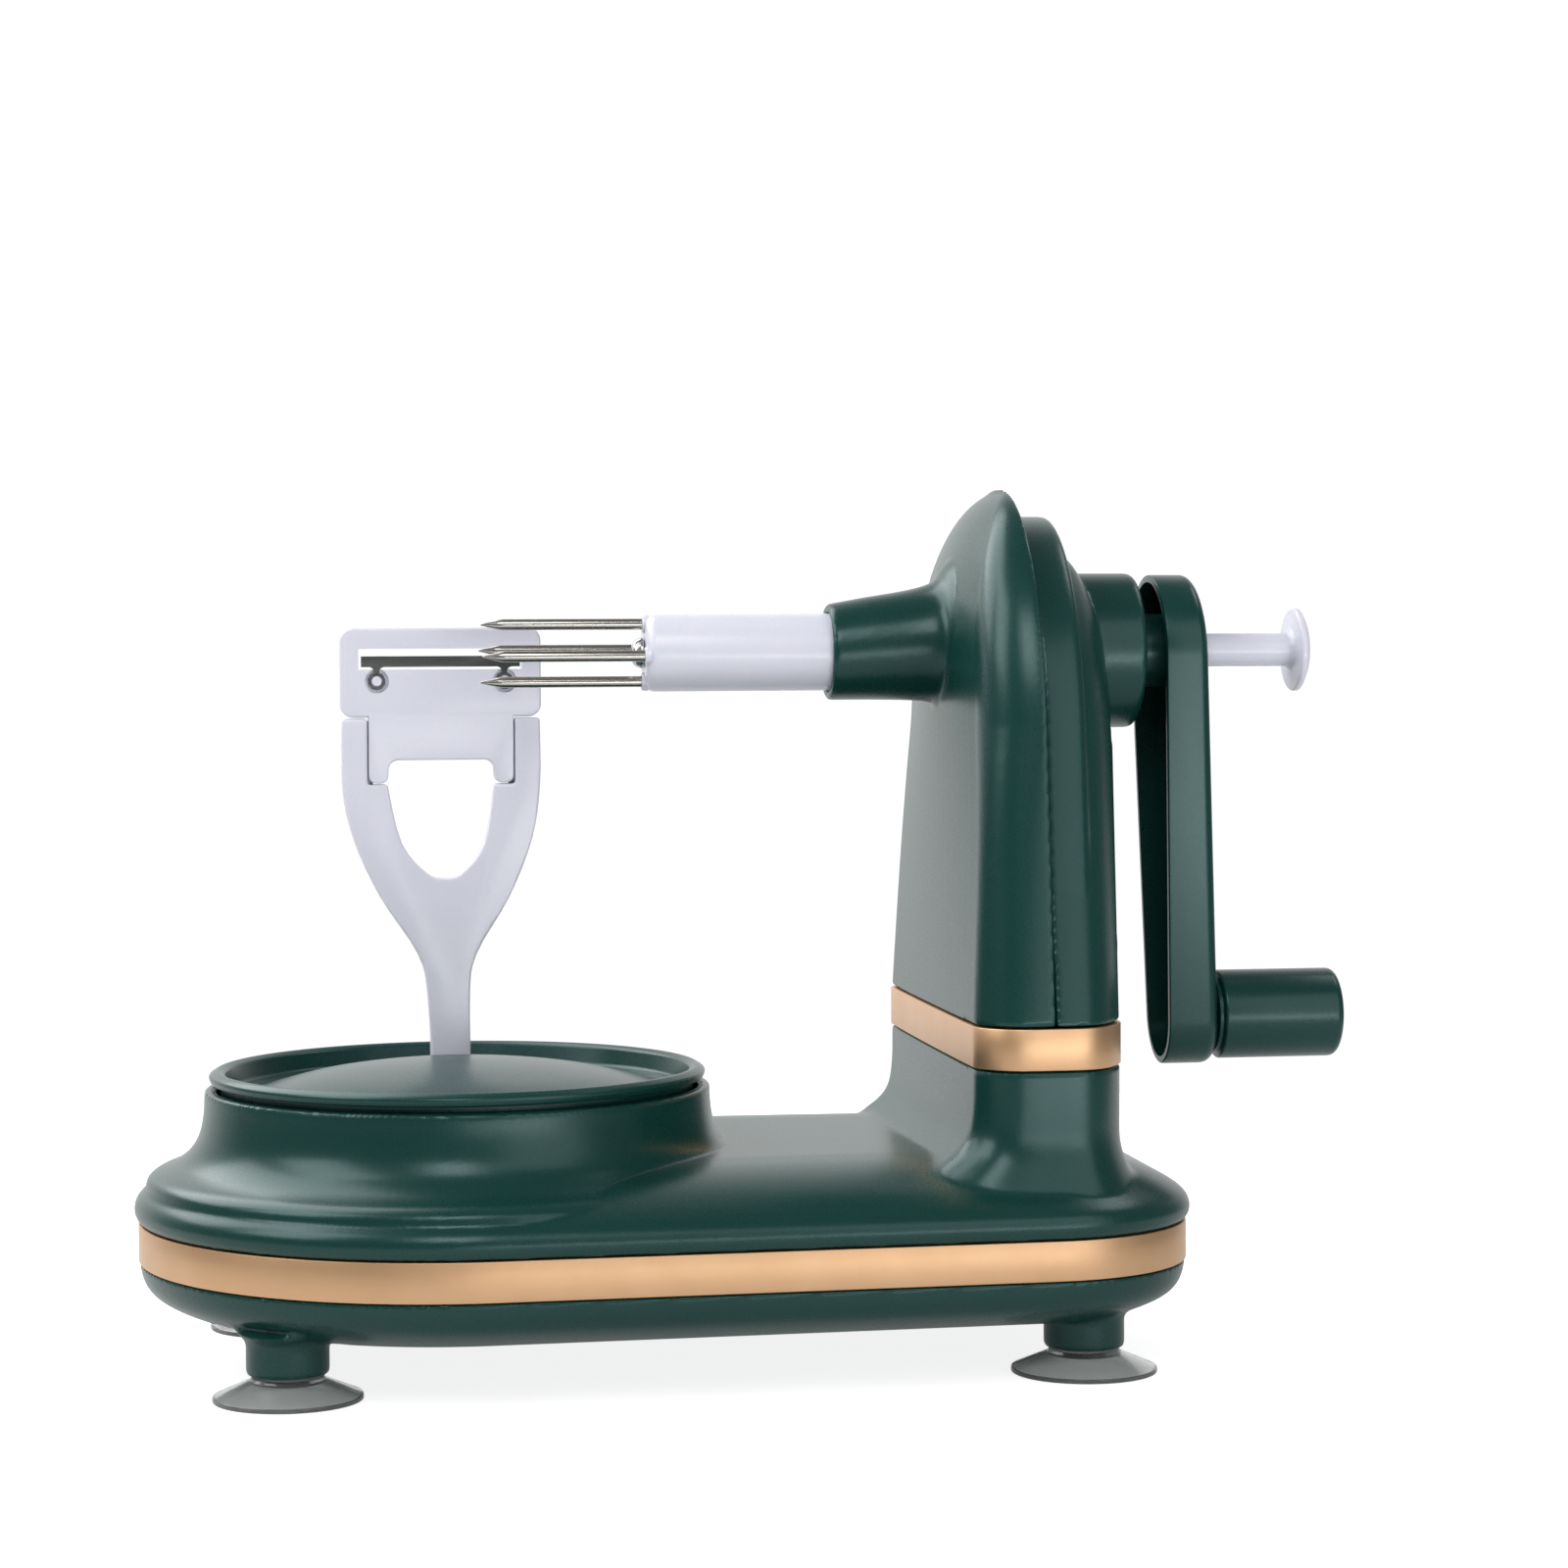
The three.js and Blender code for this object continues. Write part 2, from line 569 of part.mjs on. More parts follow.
function upperShell() {
  const deck = baseLoft([
    [BAND_TOP_Z + GAP, 0.3], [42, -SHELL_BULGE], [46.1, -0.3], [50, 3.8], [53.6, 11.5], [56.3, 22],
    [DECK_Z, 38],
  ]);
  const collar = turned([
    [60, 45], [84.4, 45], [83.8, 48.9], [76.6, 53.7], [70.4, 58], [68, 63.5], [67.6, 72.4],
    [66.6, COLLAR_TOP_Z], [60, COLLAR_TOP_Z], [60, 45],
  ], 44);
  const foot = footLoft([
    [48, 0, 12], [DECK_Z, 0, 11], [59.8, 0, 6.5], [64, 0, 2.4], [71, 0, 0.4],
    [TOWER_BAND_BOTTOM_Z - GAP, 0, 0], [TOWER_BAND_BOTTOM_Z - GAP, TRIM_WALL + GAP, 0],
    [TOWER_BAND_TOP_Z - GAP, TRIM_WALL + GAP, 0],
  ]);
  const cavity = baseLoft([
    [BAND_TOP_Z - 1, 3.2], [46, 3.2], [50.6, 11], [53.4, 22], [DECK_Z - WALL, 38],
  ]);
  const well = boreZ(COLLAR_BORE_R, BAND_TOP_Z - 1, COLLAR_TOP_Z + 5, 0, 0, 44);
  const towerWell = footLoft([[49, 5, 0], [TOWER_BAND_TOP_Z + 1, 5, 0]]);
  const posts = CASE_SCREWS.map(([x, y]) => rodZ(SCREW_BOSS_R, BAND_TOP_Z - 1, x < 0 ? 52.6 : 54.6, x, y));
  const idlerBoss = rodZ(LAYSHAFT_R + 3, GEAR_TOP_Z + 0.4, 56, IDLER_X, IDLER_Y);
  const holes = [
    boreZ(LAYSHAFT_R + GAP, GEAR_TOP_Z, 54.6, IDLER_X, IDLER_Y),
    ...CASE_SCREWS.map(([x, y]) => boreZ(SCREW_R + GAP, 30, 48.5, x, y, 8)),
  ];
  const shell = cut(join([deck, collar, foot]), [cavity, well, towerWell]);
  return cut(join([shell, ...posts, idlerBoss]), holes);
}

add('base_lower_shell', lowerShell(), green);
add('base_upper_shell', upperShell(), green);

const bandOutside = baseLoft([[BAND_BOTTOM_Z, 0], [BAND_TOP_Z, 0]]);
add('base_band', bandOutside.subtract(baseLoft([[20, TRIM_WALL], [45, TRIM_WALL]])), gold);

const towerBand = footLoft([[TOWER_BAND_BOTTOM_Z, -0.3, 0], [TOWER_BAND_TOP_Z, -0.3, 0]]);
add('tower_band', towerBand.subtract(footLoft([[75, TRIM_WALL, 0], [98, TRIM_WALL, 0]])), gold);

const caseScrew = () => turned([[0, 16], [SCREW_HEAD_R, 16], [SCREW_HEAD_R, 18.1], [SCREW_R, 18.1],
  [SCREW_R, 48], [0, 48]], 10);
for (const [index, [x, y]] of CASE_SCREWS.entries()) {
  add(`case_screw_${index + 1}`, caseScrew(), steel, [x, y, 0]);
}

// ---------------------------------------------------------------- tower shells

const TOWER_SCREWS = [[-44, 112], [44, 112], [-33, 168], [33, 168]];
const SCREW_HEAD_X = 168.1;
const SCREW_END_X = 170.3;
const BUSH_R = 12;
const BUSH_START_X = 165;
const BUSH_END_X = 183.4;
const BRACKET_Z = [195, 200.5];

// The snout leans up as it widens, so that its underside stays level.
function snoutRing(x, radius, centreZ) {
  return Array.from({ length: 24 }, (_, k) => {
    const angle = 2 * Math.PI * k / 24;
    return [x, radius * Math.cos(angle), centreZ + radius * Math.sin(angle)];
  });
}

function frontShell() {
  const shape = (bottom, top, inset, seamX) => loft(
    archZs(bottom, top).map((z) => frontSlice(z, inset, seamX, top)),
  );
  const outside = shape(TOWER_BAND_TOP_Z + GAP, TOWER_TOP_Z, 0, SEAM_X);
  const inside = shape(TOWER_BAND_TOP_Z - 1, TOWER_TOP_Z - WALL, WALL, SEAM_X + 1);
  const snout = loft([
    snoutRing(SNOUT_TIP_X, SNOUT_TIP_R, AXIS_Z),
    snoutRing(130, 15.6, AXIS_Z + 2.2),
    snoutRing(137, SNOUT_ROOT_R, AXIS_Z + 2.6),
  ]);
  const bosses = TOWER_SCREWS.map(([y, z]) => rodX(SCREW_BOSS_R, z > 150 ? 133 : 131.6, SEAM_X - 0.1, z, y));
  const bracket = box(132.6, LAYSHAFT_X + 7, LAYSHAFT_Y - 7, LAYSHAFT_Y + 6.3, ...BRACKET_Z);
  const holes = [
    boreX(HUB_R + GAP, SNOUT_TIP_X - 1, HUB_END_X + 1),
    boreX(BUSH_R + GAP, HUB_END_X + 0.5, SEAM_X),
    boreZ(LAYSHAFT_R + 2 + GAP, BRACKET_Z[0] - 1, BRACKET_Z[1] + 1, LAYSHAFT_X, LAYSHAFT_Y),
    ...TOWER_SCREWS.map(([y, z]) => boreX(SCREW_R + GAP, 140, SEAM_X + 1, z, y, 8)),
  ];
  return cut(join([outside.subtract(inside), snout, ...bosses, bracket]), holes);
}

function rearShell() {
  const seam = SEAM_X + GAP;
  const arch = (bottom, drop, inset, seamX) => loft(archZs(bottom, REAR_ARCH_TOP_Z - drop).map(
    (z) => rearSlice(z, inset, seamX, 161, REAR_ARCH_HALF, REAR_ARCH_TOP_Z - drop, 2.5, 1.5),
  ));
  const dome = (bottom, drop, inset, seamX) => loft(archZs(bottom, REAR_DOME_TOP_Z - drop).map((z) => rearSlice(
    z, inset, seamX, domeBackX(z), REAR_DOME_HALF, REAR_DOME_TOP_Z - drop, BACK_CORNER_R, 5,
  )));
  const bottom = TOWER_BAND_TOP_Z + GAP;
  const boss = turnedX([[0, 165], [BOSS_R, 165], [BOSS_R, BOSS_END_X - 1.5], [BOSS_R - 1.5, BOSS_END_X],
    [0, BOSS_END_X]], 32);
  const outside = join([arch(bottom, 0, 0, seam), dome(bottom, 0, 0, seam)]);
  const inside = dome(bottom - 1, WALL, WALL, seam - 1);
  const screwBosses = TOWER_SCREWS.map(([y, z]) => rodX(SCREW_BOSS_R + 0.6, seam, SCREW_END_X, z, y));
  const holes = [
    boreX(BUSH_R + GAP, 150, BUSH_END_X + GAP),
    boreX(SHAFT_R + 0.6, BUSH_END_X, BOSS_END_X + 1),
    ...TOWER_SCREWS.map(([y, z]) => boreX(SCREW_R + GAP, 140, 176, z, y, 8)),
    ...TOWER_SCREWS.map(([y, z]) => boreX(SCREW_HEAD_R + GAP, SCREW_HEAD_X - GAP, 176, z, y)),
  ];
  return cut(join([outside.subtract(inside), boss, ...screwBosses]), holes);
}

add('tower_front_shell', frontShell(), green);
add('tower_rear_shell', rearShell(), green);

const towerScrew = () => turnedX([
  [0, 142], [SCREW_R, 142], [SCREW_R, SCREW_HEAD_X], [SCREW_HEAD_R, SCREW_HEAD_X],
  [SCREW_HEAD_R, SCREW_END_X], [0, SCREW_END_X],
], 10, 0);
for (const [index, [y, z]] of TOWER_SCREWS.entries()) {
  add(`tower_screw_${index + 1}`, towerScrew(), steel, [0, y, z]);
}

const bushBetween = (from, to) => turnedX([[SHAFT_R + GAP, from], [BUSH_R, from], [BUSH_R, to],
  [SHAFT_R + GAP, to], [SHAFT_R + GAP, from]]);
add('shaft_bush_front', bushBetween(HUB_END_X + 0.9, 126), bronze);
add('shaft_bush_rear', bushBetween(BUSH_START_X, BUSH_END_X), bronze);
add('layshaft_bush_upper', tube(LAYSHAFT_R + 2, LAYSHAFT_R + GAP, BRACKET_Z[0] + GAP, BRACKET_Z[1]), bronze,
  [LAYSHAFT_X, LAYSHAFT_Y, 0]);
add('layshaft_bush_lower', tube(LAYSHAFT_R + 2, LAYSHAFT_R + GAP, 24, 44.7), bronze,
  [LAYSHAFT_X, LAYSHAFT_Y, 0]);
add('turntable_bush', tube(SPINDLE_R + BUSH_WALL, SPINDLE_R + GAP, SPINDLE_BOTTOM_Z + GAP, 45.4), bronze);
add('idler_axle', rodZ(LAYSHAFT_R, 18.4, 54.2), steel, [IDLER_X, IDLER_Y, 0]);

// ---------------------------------------------------------------- fork and crank

const ROD_BORE_R = ROD_R + GAP;
const TIP_R = 3;
const SHAFT_END_X = 199.6;
const STEP_X = 83;                // where the ejector rod narrows to its tip

function forkHub() {
  const body = turnedX([
    [TIP_R + GAP, HUB_FACE_X], [HUB_R - 1.8, HUB_FACE_X], [HUB_R - 0.5, HUB_FACE_X + 0.5],
    [HUB_R, HUB_FACE_X + 1.8], [HUB_R, HUB_END_X],
    [SHAFT_R + GAP, HUB_END_X], [SHAFT_R + GAP, 70], [ROD_BORE_R, 70], [ROD_BORE_R, 57.7],
    [TIP_R + GAP, 57.7], [TIP_R + GAP, HUB_FACE_X],
  ], 24);
  return cut(body, prongPlaces().map(([y, z]) => boreX(PRONG_R + GAP, 50, 62.3, AXIS_Z + z, y, 8)));
}

function prongPlaces() {
  return [0, 1, 2, 3].map((k) => {
    const angle = PRONG_TWIST + k * Math.PI / 2;
    return [PRONG_CIRCLE_R * Math.cos(angle), PRONG_CIRCLE_R * Math.sin(angle)];
  });
}

add('fork_hub', forkHub(), white);
for (const [index, [y, z]] of prongPlaces().entries()) {
  const prong = turnedX([[0, PRONG_TIP_X], [PRONG_R, PRONG_TIP_X + 5.5], [PRONG_R, 62], [0, 62]], 12);
  add(`prong_${index + 1}`, prong, steel, [0, y, z]);
}

add('main_shaft', turnedX([
  [ROD_BORE_R, 70.4], [SHAFT_R, 70.4], [SHAFT_R, SHAFT_END_X], [ROD_BORE_R, SHAFT_END_X],
  [ROD_BORE_R, 70.4],
]), steel);
add('worm', worm(22, SHAFT_R + GAP), nylon, [LAYSHAFT_X, 0, AXIS_Z]);

// The crank's outline at a share of the way from its rim to its face.
function crankRing(share, inset) {
  const ring = [];
  const reach = AXIS_Z - KNOB_Z;
  const tangent = Math.asin((CRANK_TOP_R - CRANK_END_R) / reach);
  const arc = (z, radius, from, to, steps) => {
    for (let i = 0; i <= steps; i += 1) {
      const angle = lerp(from, to, i / steps);
      const level = z + (radius - inset) * Math.sin(angle);
      const up = (level - KNOB_Z) / reach;
      const x = lerp(CRANK_RIM_X - CRANK_RIM_LEAN * up, CRANK_FACE_X - CRANK_FACE_LEAN * up, share);
      ring.push([x, (radius - inset) * Math.cos(angle), level]);
    }
  };
  arc(AXIS_Z, CRANK_TOP_R, -tangent, Math.PI + tangent, 20);
  arc(KNOB_Z, CRANK_END_R, Math.PI + tangent, 2 * Math.PI - tangent, 16);
  return ring;
}

function crankArm() {
  const tray = loft([crankRing(0, 0.3), crankRing(0.85, 0), crankRing(1, 1.8)]);
  const hollow = loft([crankRing(-0.1, CRANK_WALL), crankRing(0.76, CRANK_WALL + 0.2)]);
  const bosses = [rodX(10, BOSS_END_X + 1, SHAFT_END_X + 1, AXIS_Z, 0, 20), rodX(6, 199, 205, KNOB_Z)];
  const holes = [
    boreX(SHAFT_R + GAP, BOSS_END_X, SHAFT_END_X + GAP),
    boreX(ROD_BORE_R, 195, 210),
    boreX(AXLE_R + GAP, 195, 210, KNOB_Z),
  ];
  return cut(join([tray.subtract(hollow), ...bosses]), holes);
}

add('crank_arm', crankArm(), green);
add('knob_axle', turnedX([[0, 196.9], [4.6, 196.9], [4.6, 198.7], [AXLE_R, 198.7], [AXLE_R, AXLE_END_X],
  [0, AXLE_END_X]], 20, KNOB_Z), steel);
add('crank_knob', turnedX([
  [AXLE_R + GAP, KNOB_X], [10.6, KNOB_X], [KNOB_R, KNOB_X + 1.6], [KNOB_R, KNOB_END_X - 1.6],
  [10.8, KNOB_END_X], [0, KNOB_END_X], [0, AXLE_END_X + GAP], [AXLE_R + GAP, AXLE_END_X + GAP],
  [AXLE_R + GAP, KNOB_X],
], 28, KNOB_Z), green);

const rodTip = HUB_FACE_X + 1.3;
add('ejector_rod', turnedX([
  [1.5, rodTip], [TIP_R, rodTip], [TIP_R, STEP_X], [ROD_R, STEP_X], [ROD_R, BUTTON_X],
  [BUTTON_R - 1, BUTTON_X], [BUTTON_R, BUTTON_X + 1], [BUTTON_R, BUTTON_X + 2.4],
  [0, BUTTON_X + BUTTON_THICK], [0, 61], [1.5, 61], [1.5, rodTip],
], 24), white);
add('pusher_screw', turnedX([
  [0, 47.3], [2.4, 47.9], [3.8, 49.2], [4.2, 50], [4.2, 50.7], [2.6, 50.7], [2.6, 52], [1.2, 52],
  [1.2, 60.7], [0, 60.7],
]), steel);

// ---------------------------------------------------------------- gear train

const PINION_LINE = Math.atan2(LAYSHAFT_Y - IDLER_Y, LAYSHAFT_X - IDLER_X);
const idlerPhase = meshPhase(0, TABLE_TEETH, IDLER_TEETH, IDLER_ANGLE);
const pinionPhase = meshPhase(idlerPhase, IDLER_TEETH, PINION_TEETH, PINION_LINE);
const gearBore = LAYSHAFT_R + GAP;

add('layshaft', rodZ(LAYSHAFT_R, 19, 203.5), steel, [LAYSHAFT_X, LAYSHAFT_Y, 0]);
add('worm_wheel', gear(WHEEL_TEETH, WHEEL_THICK, gearBore, -Math.PI / 2), nylon,
  [LAYSHAFT_X, LAYSHAFT_Y, AXIS_Z - WHEEL_THICK / 2]);
add('pinion', gear(PINION_TEETH, GEAR_THICK, gearBore, pinionPhase), nylon,
  [LAYSHAFT_X, LAYSHAFT_Y, GEAR_Z]);
add('idler_gear', gear(IDLER_TEETH, GEAR_THICK, gearBore, idlerPhase), nylon, [IDLER_X, IDLER_Y, GEAR_Z]);
add('turntable_gear', gear(TABLE_TEETH, GEAR_THICK, SPINDLE_R + GAP, 0), nylon, [0, 0, GEAR_Z]);

// ---------------------------------------------------------------- turntable

const EAR_X = [6.6, 9.8];

function turntable() {
  const dish = turned([
    [0, DOME_TOP_Z], [20, 79.3], [38, 76.9], [DOME_R, 72.4], [60.4, 72.4], [62.4, 77.4],
    [64.6, TABLE_RIM_Z], [TABLE_R, 76.9], [66, 75.2], [63.3, 75.1], [63.3, 69.8], [54, 69.8],
    [38, 74.3], [7, 77.2],
    [7, GEAR_TOP_Z + GAP], [SPINDLE_R, GEAR_TOP_Z + GAP], [SPINDLE_R, SPINDLE_BOTTOM_Z],
    [0, SPINDLE_BOTTOM_Z],
  ].reverse(), 40);
  const [earIn, earOut] = EAR_X;
  const ears = [[earIn, earOut], [-earOut, -earIn]].map(
    ([x0, x1]) => box(x0, x1, ARM_Y - 5, ARM_Y + 5, PIVOT_Z - 5, 76),
  );
  const holes = [
    box(-earIn, earIn, ARM_Y - 5, ARM_Y + 11, 68, 90),
    boreX(PIN_R + GAP, -12, 12, PIVOT_Z, ARM_Y, 12),
    boreZ(SCREW_R + GAP, 10, 34, 0, 0, 12),
  ];
  return cut(join([dish, ...ears]), holes);
}

add('turntable', turntable(), green);
const turntableScrew = turned([
  [0, 16.2], [6, 16.2], [6, 18.4], [SCREW_R, 18.4], [SCREW_R, 33], [0, 33],
], 20);
add('turntable_screw', turntableScrew, steel);
add('arm_pin', rodX(PIN_R, -11, 11, PIVOT_Z, ARM_Y, 16), steel);
add('arm_spring', turnedX([[2.2, 2.1], [3.6, 2.1], [3.6, 6.2], [2.2, 6.2], [2.2, 2.1]], 20, PIVOT_Z, ARM_Y),
  steel);

// ---------------------------------------------------------------- blade arm and cartridge

const ARM_FRONT_Y = ARM_Y - ARM_THICK / 2;
const ARM_BACK_Y = ARM_Y + ARM_THICK / 2;
const PRONG_INNER = 20.3;         // inner edge of the arm's two uprights, beside the cartridge

const ARM_OUTER = [[70, 5.4], [88, 5.4], [94, 5.8], [99, 6.4], [104.4, 7.6], [109.8, 9.6], [115.2, 13],
  [120.6, 16.7], [126, 19.8], [131.5, 22.3], [137, 24.3], [144, 26], [153, ARM_HALF],
  [CARTRIDGE_SHOULDER_Z - GAP, ARM_HALF]];
const ARM_INNER = [[CARTRIDGE_SHOULDER_Z - GAP, PRONG_INNER], [CARTRIDGE_SEAT_Z, PRONG_INNER],
  [CARTRIDGE_SEAT_Z, 14.8], [147.8, 14.5], [142.4, 13.4], [137, 11.4], [131.8, 8.2], [128.4, 4.4],
  [127.2, 0]];

function armCentreX(z) {
  return along([[80, 0], [150, ARM_LEAN]], z);
}

function bladeArm() {
  const edge = (pairs, side) => pairs.map(([z, half]) => [armCentreX(z) + side * half, z]);
  const outline = [
    ...edge(ARM_OUTER, 1), ...edge(ARM_INNER, 1),
    ...edge(ARM_INNER, -1).reverse().slice(1), ...edge(ARM_OUTER, -1).reverse(),
  ];
  const plate = plateXZ(outline, ARM_FRONT_Y, ARM_BACK_Y);
  const barrel = rodX(4.6, -6.1, 1.7, PIVOT_Z, ARM_Y);
  const root = box(-5.4, 1.7, ARM_FRONT_Y, ARM_BACK_Y, PIVOT_Z, 72);
  return cut(join([plate, barrel, root]), [boreX(PIN_R + GAP, -12, 12, PIVOT_Z, ARM_Y, 12)]);
}

const BLOCK_HALF = 27.7;
const BLADE_HALF = 21.9;
const BLADE_Z = [185.7, 188.7];
const SLOT_HALF = 22.6;
const SLOT_Z = [185, 190.7];
const TAB_X = 17.6;
const TAB_Z = 181.8;
const NECK_TOP_Z = 186.2;         // the necks between the tabs and the blade end inside it
const TAB_R = 2.5;
const EYE_R = 1.5;                // hole in a tab, round its peg
const RECESS_Y = ARM_FRONT_Y + 1.6;

// Points round a rectangle with its corners cut by arcs.
function roundedBox(x0, x1, z0, z1, radius) {
  const corners = [[x1 - radius, z1 - radius, 0], [x0 + radius, z1 - radius, 1],
    [x0 + radius, z0 + radius, 2], [x1 - radius, z0 + radius, 3]];
  return corners.flatMap(([x, z, quarter]) => [0, 1, 2, 3].map((step) => {
    const angle = (quarter + step / 3) * Math.PI / 2;
    return [x + radius * Math.cos(angle), z + radius * Math.sin(angle)];
  }));
}

function discXZ(radius, x, z, y0, y1, segments = 20) {
  const disc = new THREE.CylinderGeometry(radius, radius, y1 - y0, segments);
  return solid(disc.translate(x, (y0 + y1) / 2, z));
}

function cartridge() {
  const x = ARM_LEAN;
  const [y0, y1] = [ARM_FRONT_Y + 0.2, ARM_BACK_Y - 0.6];
  const leg = PRONG_INNER - GAP;
  const block = plateXZ(
    roundedBox(x - BLOCK_HALF, x + BLOCK_HALF, CARTRIDGE_SHOULDER_Z, CARTRIDGE_TOP_Z, 4), y0, y1,
  );
  const body = plateXZ([
    [x - leg, 175], [x - leg, CARTRIDGE_SEAT_Z + GAP], [x - 14.6, CARTRIDGE_SEAT_Z + GAP],
    [x - 14.6, 157.4], [x - 12, 160], [x + 12, 160], [x + 14.6, 157.4], [x + 14.6, CARTRIDGE_SEAT_Z + GAP],
    [x + leg, CARTRIDGE_SEAT_Z + GAP], [x + leg, 175],
  ], y0, y1);
  const sides = [-1, 1];
  const holes = [
    box(x - SLOT_HALF, x + SLOT_HALF, y0 - 1, y1 + 1, ...SLOT_Z),
    ...sides.map((s) => discXZ(TAB_R + 0.8, x + s * TAB_X, TAB_Z, y0 - 1, RECESS_Y)),
    ...sides.map((s) => box(x + s * TAB_X - 1.4, x + s * TAB_X + 1.4, y0 - 1, RECESS_Y, TAB_Z, NECK_TOP_Z)),
    ...sides.map((s) => discXZ(1.1, x + s * TAB_X, TAB_Z, y0, ARM_BACK_Y - 1.6, 10)),
  ];
  return cut(join([block, body]), holes);
}

function blade() {
  const x = ARM_LEAN;
  const [y0, y1] = [RECESS_Y - GAP - 0.8, RECESS_Y - GAP];
  const bar = box(x - BLADE_HALF, x + BLADE_HALF, y0, y1, ...BLADE_Z);
  const sides = [-1, 1];
  const necks = sides.map((s) => box(x + s * TAB_X - 0.9, x + s * TAB_X + 0.9, y0, y1, TAB_Z, NECK_TOP_Z));
  const tabs = sides.map((s) => discXZ(TAB_R, x + s * TAB_X, TAB_Z, y0, y1));
  const eyes = sides.map((s) => discXZ(EYE_R, x + s * TAB_X, TAB_Z, y0 - 1, y1 + 1, 12));
  return cut(join([bar, ...necks, ...tabs]), eyes);
}

// A moulded peg through a blade's tab.
function peg() {
  return discXZ(0.8, 0, 0, RECESS_Y - 1.7, ARM_BACK_Y - 2, 14);
}

add('blade_arm', bladeArm(), white);
add('blade_cartridge', cartridge(), white);
add('peeling_blade', blade(), steel);
add('blade_peg_1', peg(), white, [ARM_LEAN - TAB_X, 0, TAB_Z]);
add('blade_peg_2', peg(), white, [ARM_LEAN + TAB_X, 0, TAB_Z]);

export default machine;
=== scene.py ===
"""Looks of a hand-cranked apple peeler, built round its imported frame.

Shapes are written in millimetres in the machine's own frame: X = 0 on the turntable's axis, Y across the
machine and Z = 0 on the table. piece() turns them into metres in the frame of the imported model.
"""
import json
import math

import bmesh
import bpy
from mathutils import Matrix, Vector


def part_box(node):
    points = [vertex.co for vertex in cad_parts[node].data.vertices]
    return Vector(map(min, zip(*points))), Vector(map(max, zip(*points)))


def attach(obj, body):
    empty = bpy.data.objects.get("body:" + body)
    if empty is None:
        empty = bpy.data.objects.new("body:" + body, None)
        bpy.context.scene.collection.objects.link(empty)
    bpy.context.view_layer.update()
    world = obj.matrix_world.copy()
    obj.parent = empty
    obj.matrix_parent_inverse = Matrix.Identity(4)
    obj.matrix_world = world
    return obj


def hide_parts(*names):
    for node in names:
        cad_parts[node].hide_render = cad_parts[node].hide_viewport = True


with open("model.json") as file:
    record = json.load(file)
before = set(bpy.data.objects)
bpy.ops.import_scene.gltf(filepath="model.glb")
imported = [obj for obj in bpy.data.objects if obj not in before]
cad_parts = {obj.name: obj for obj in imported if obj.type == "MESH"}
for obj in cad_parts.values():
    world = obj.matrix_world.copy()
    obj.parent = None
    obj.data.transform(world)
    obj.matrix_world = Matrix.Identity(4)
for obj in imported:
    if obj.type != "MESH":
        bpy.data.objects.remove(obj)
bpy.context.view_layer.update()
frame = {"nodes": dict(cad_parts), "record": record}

MM = 0.001

# ---------------------------------------------------------------- dimensions read from the frame

table_low, table_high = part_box("turntable")
ORIGIN = Vector(((table_low.x + table_high.x) / 2, 0, 0))


def corners(node):
    """A CAD node's lowest and highest corners, in the machine's frame, in millimetres."""
    low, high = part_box(node)
    return (low - ORIGIN) / MM, (high - ORIGIN) / MM


def middle(node):
    low, high = corners(node)
    return (low + high) / 2


BAND_LOW, BAND_HIGH = corners("base_band")
TOWER_BAND_LOW, TOWER_BAND_HIGH = corners("tower_band")
FRONT_LOW, FRONT_HIGH = corners("tower_front_shell")
REAR_HIGH = corners("tower_rear_shell")[1]
LOWER_LOW = corners("base_lower_shell")[0]
TABLE_LOW, TABLE_HIGH = corners("turntable")
HUB_LOW, HUB_HIGH = corners("fork_hub")
CRANK_LOW, CRANK_HIGH = corners("crank_arm")
KNOB_LOW, KNOB_HIGH = corners("crank_knob")
ROD_LOW, ROD_HIGH = corners("ejector_rod")
CARTRIDGE_LOW, CARTRIDGE_HIGH = corners("blade_cartridge")

AXIS_Z = middle("main_shaft").z
SHAFT_END = corners("main_shaft")[1].x
KNOB_Z = middle("crank_knob").z
ARM_Y = middle("blade_arm").y
HUB_R = (HUB_HIGH.y - HUB_LOW.y) / 2
KNOB_R = (KNOB_HIGH.y - KNOB_LOW.y) / 2
END_R = -BAND_LOW.x
PRONGS = [middle(f"prong_{k}") for k in range(1, 5)]
FEET = [middle(f"suction_cup_{k}") for k in range(1, 5)]

# ---------------------------------------------------------------- dimensions of the shapes

GAP = 0.3                         # clearance between neighbouring pieces
WALL = 2.6
TRIM_WALL = 2.2
FINE_CELL = 0.7                   # facet size of the eased shells

CORNER_R = 44.8                   # the two corner circles of the base's outline
CORNER_X = 146
CORNER_Y = 35
FLOOR_Z = LOWER_LOW.z + 8.4       # underside of the base's floor
POST_R = 10.6                     # the base's posts, which hold the cups' stems
CUP_STEM_R = 4
COLLAR_BORE_R = 64.5              # the ring that the turntable runs in
COLLAR_TOP_Z = 73.5

SEAM_X = 149                      # plane where the front and rear tower shells meet
SEAM_HALF = 70
FACE_X = 129.6                    # the face on the fork's side, at the tower's band
FACE_HALF = 59.6
FACE_CORNER_R = 3.5
BACK_X = 170                      # the face on the crank's side, at the tower's band
BACK_LEAN = 3                     # how much farther back that face is at the shoulder
BACK_HALF = 51.2
BACK_CORNER_R = 5
FLAT_CROWN = 0.4                  # how far the middle of a nearly flat face stands out
SHOULDER_Z = 170                  # where the straight sides end and the arch starts
CURL_Z = 184                      # where the fork-side face starts to curl back to the top
ARCH_POWER = 2.25                 # 2 would make the arch an ellipse
SHARP_POWER = 4.6                 # how suddenly a slice's side turns in, for a sharp corner
ROUND_POWER = 1.4                 # and for a corner as deep as the slice
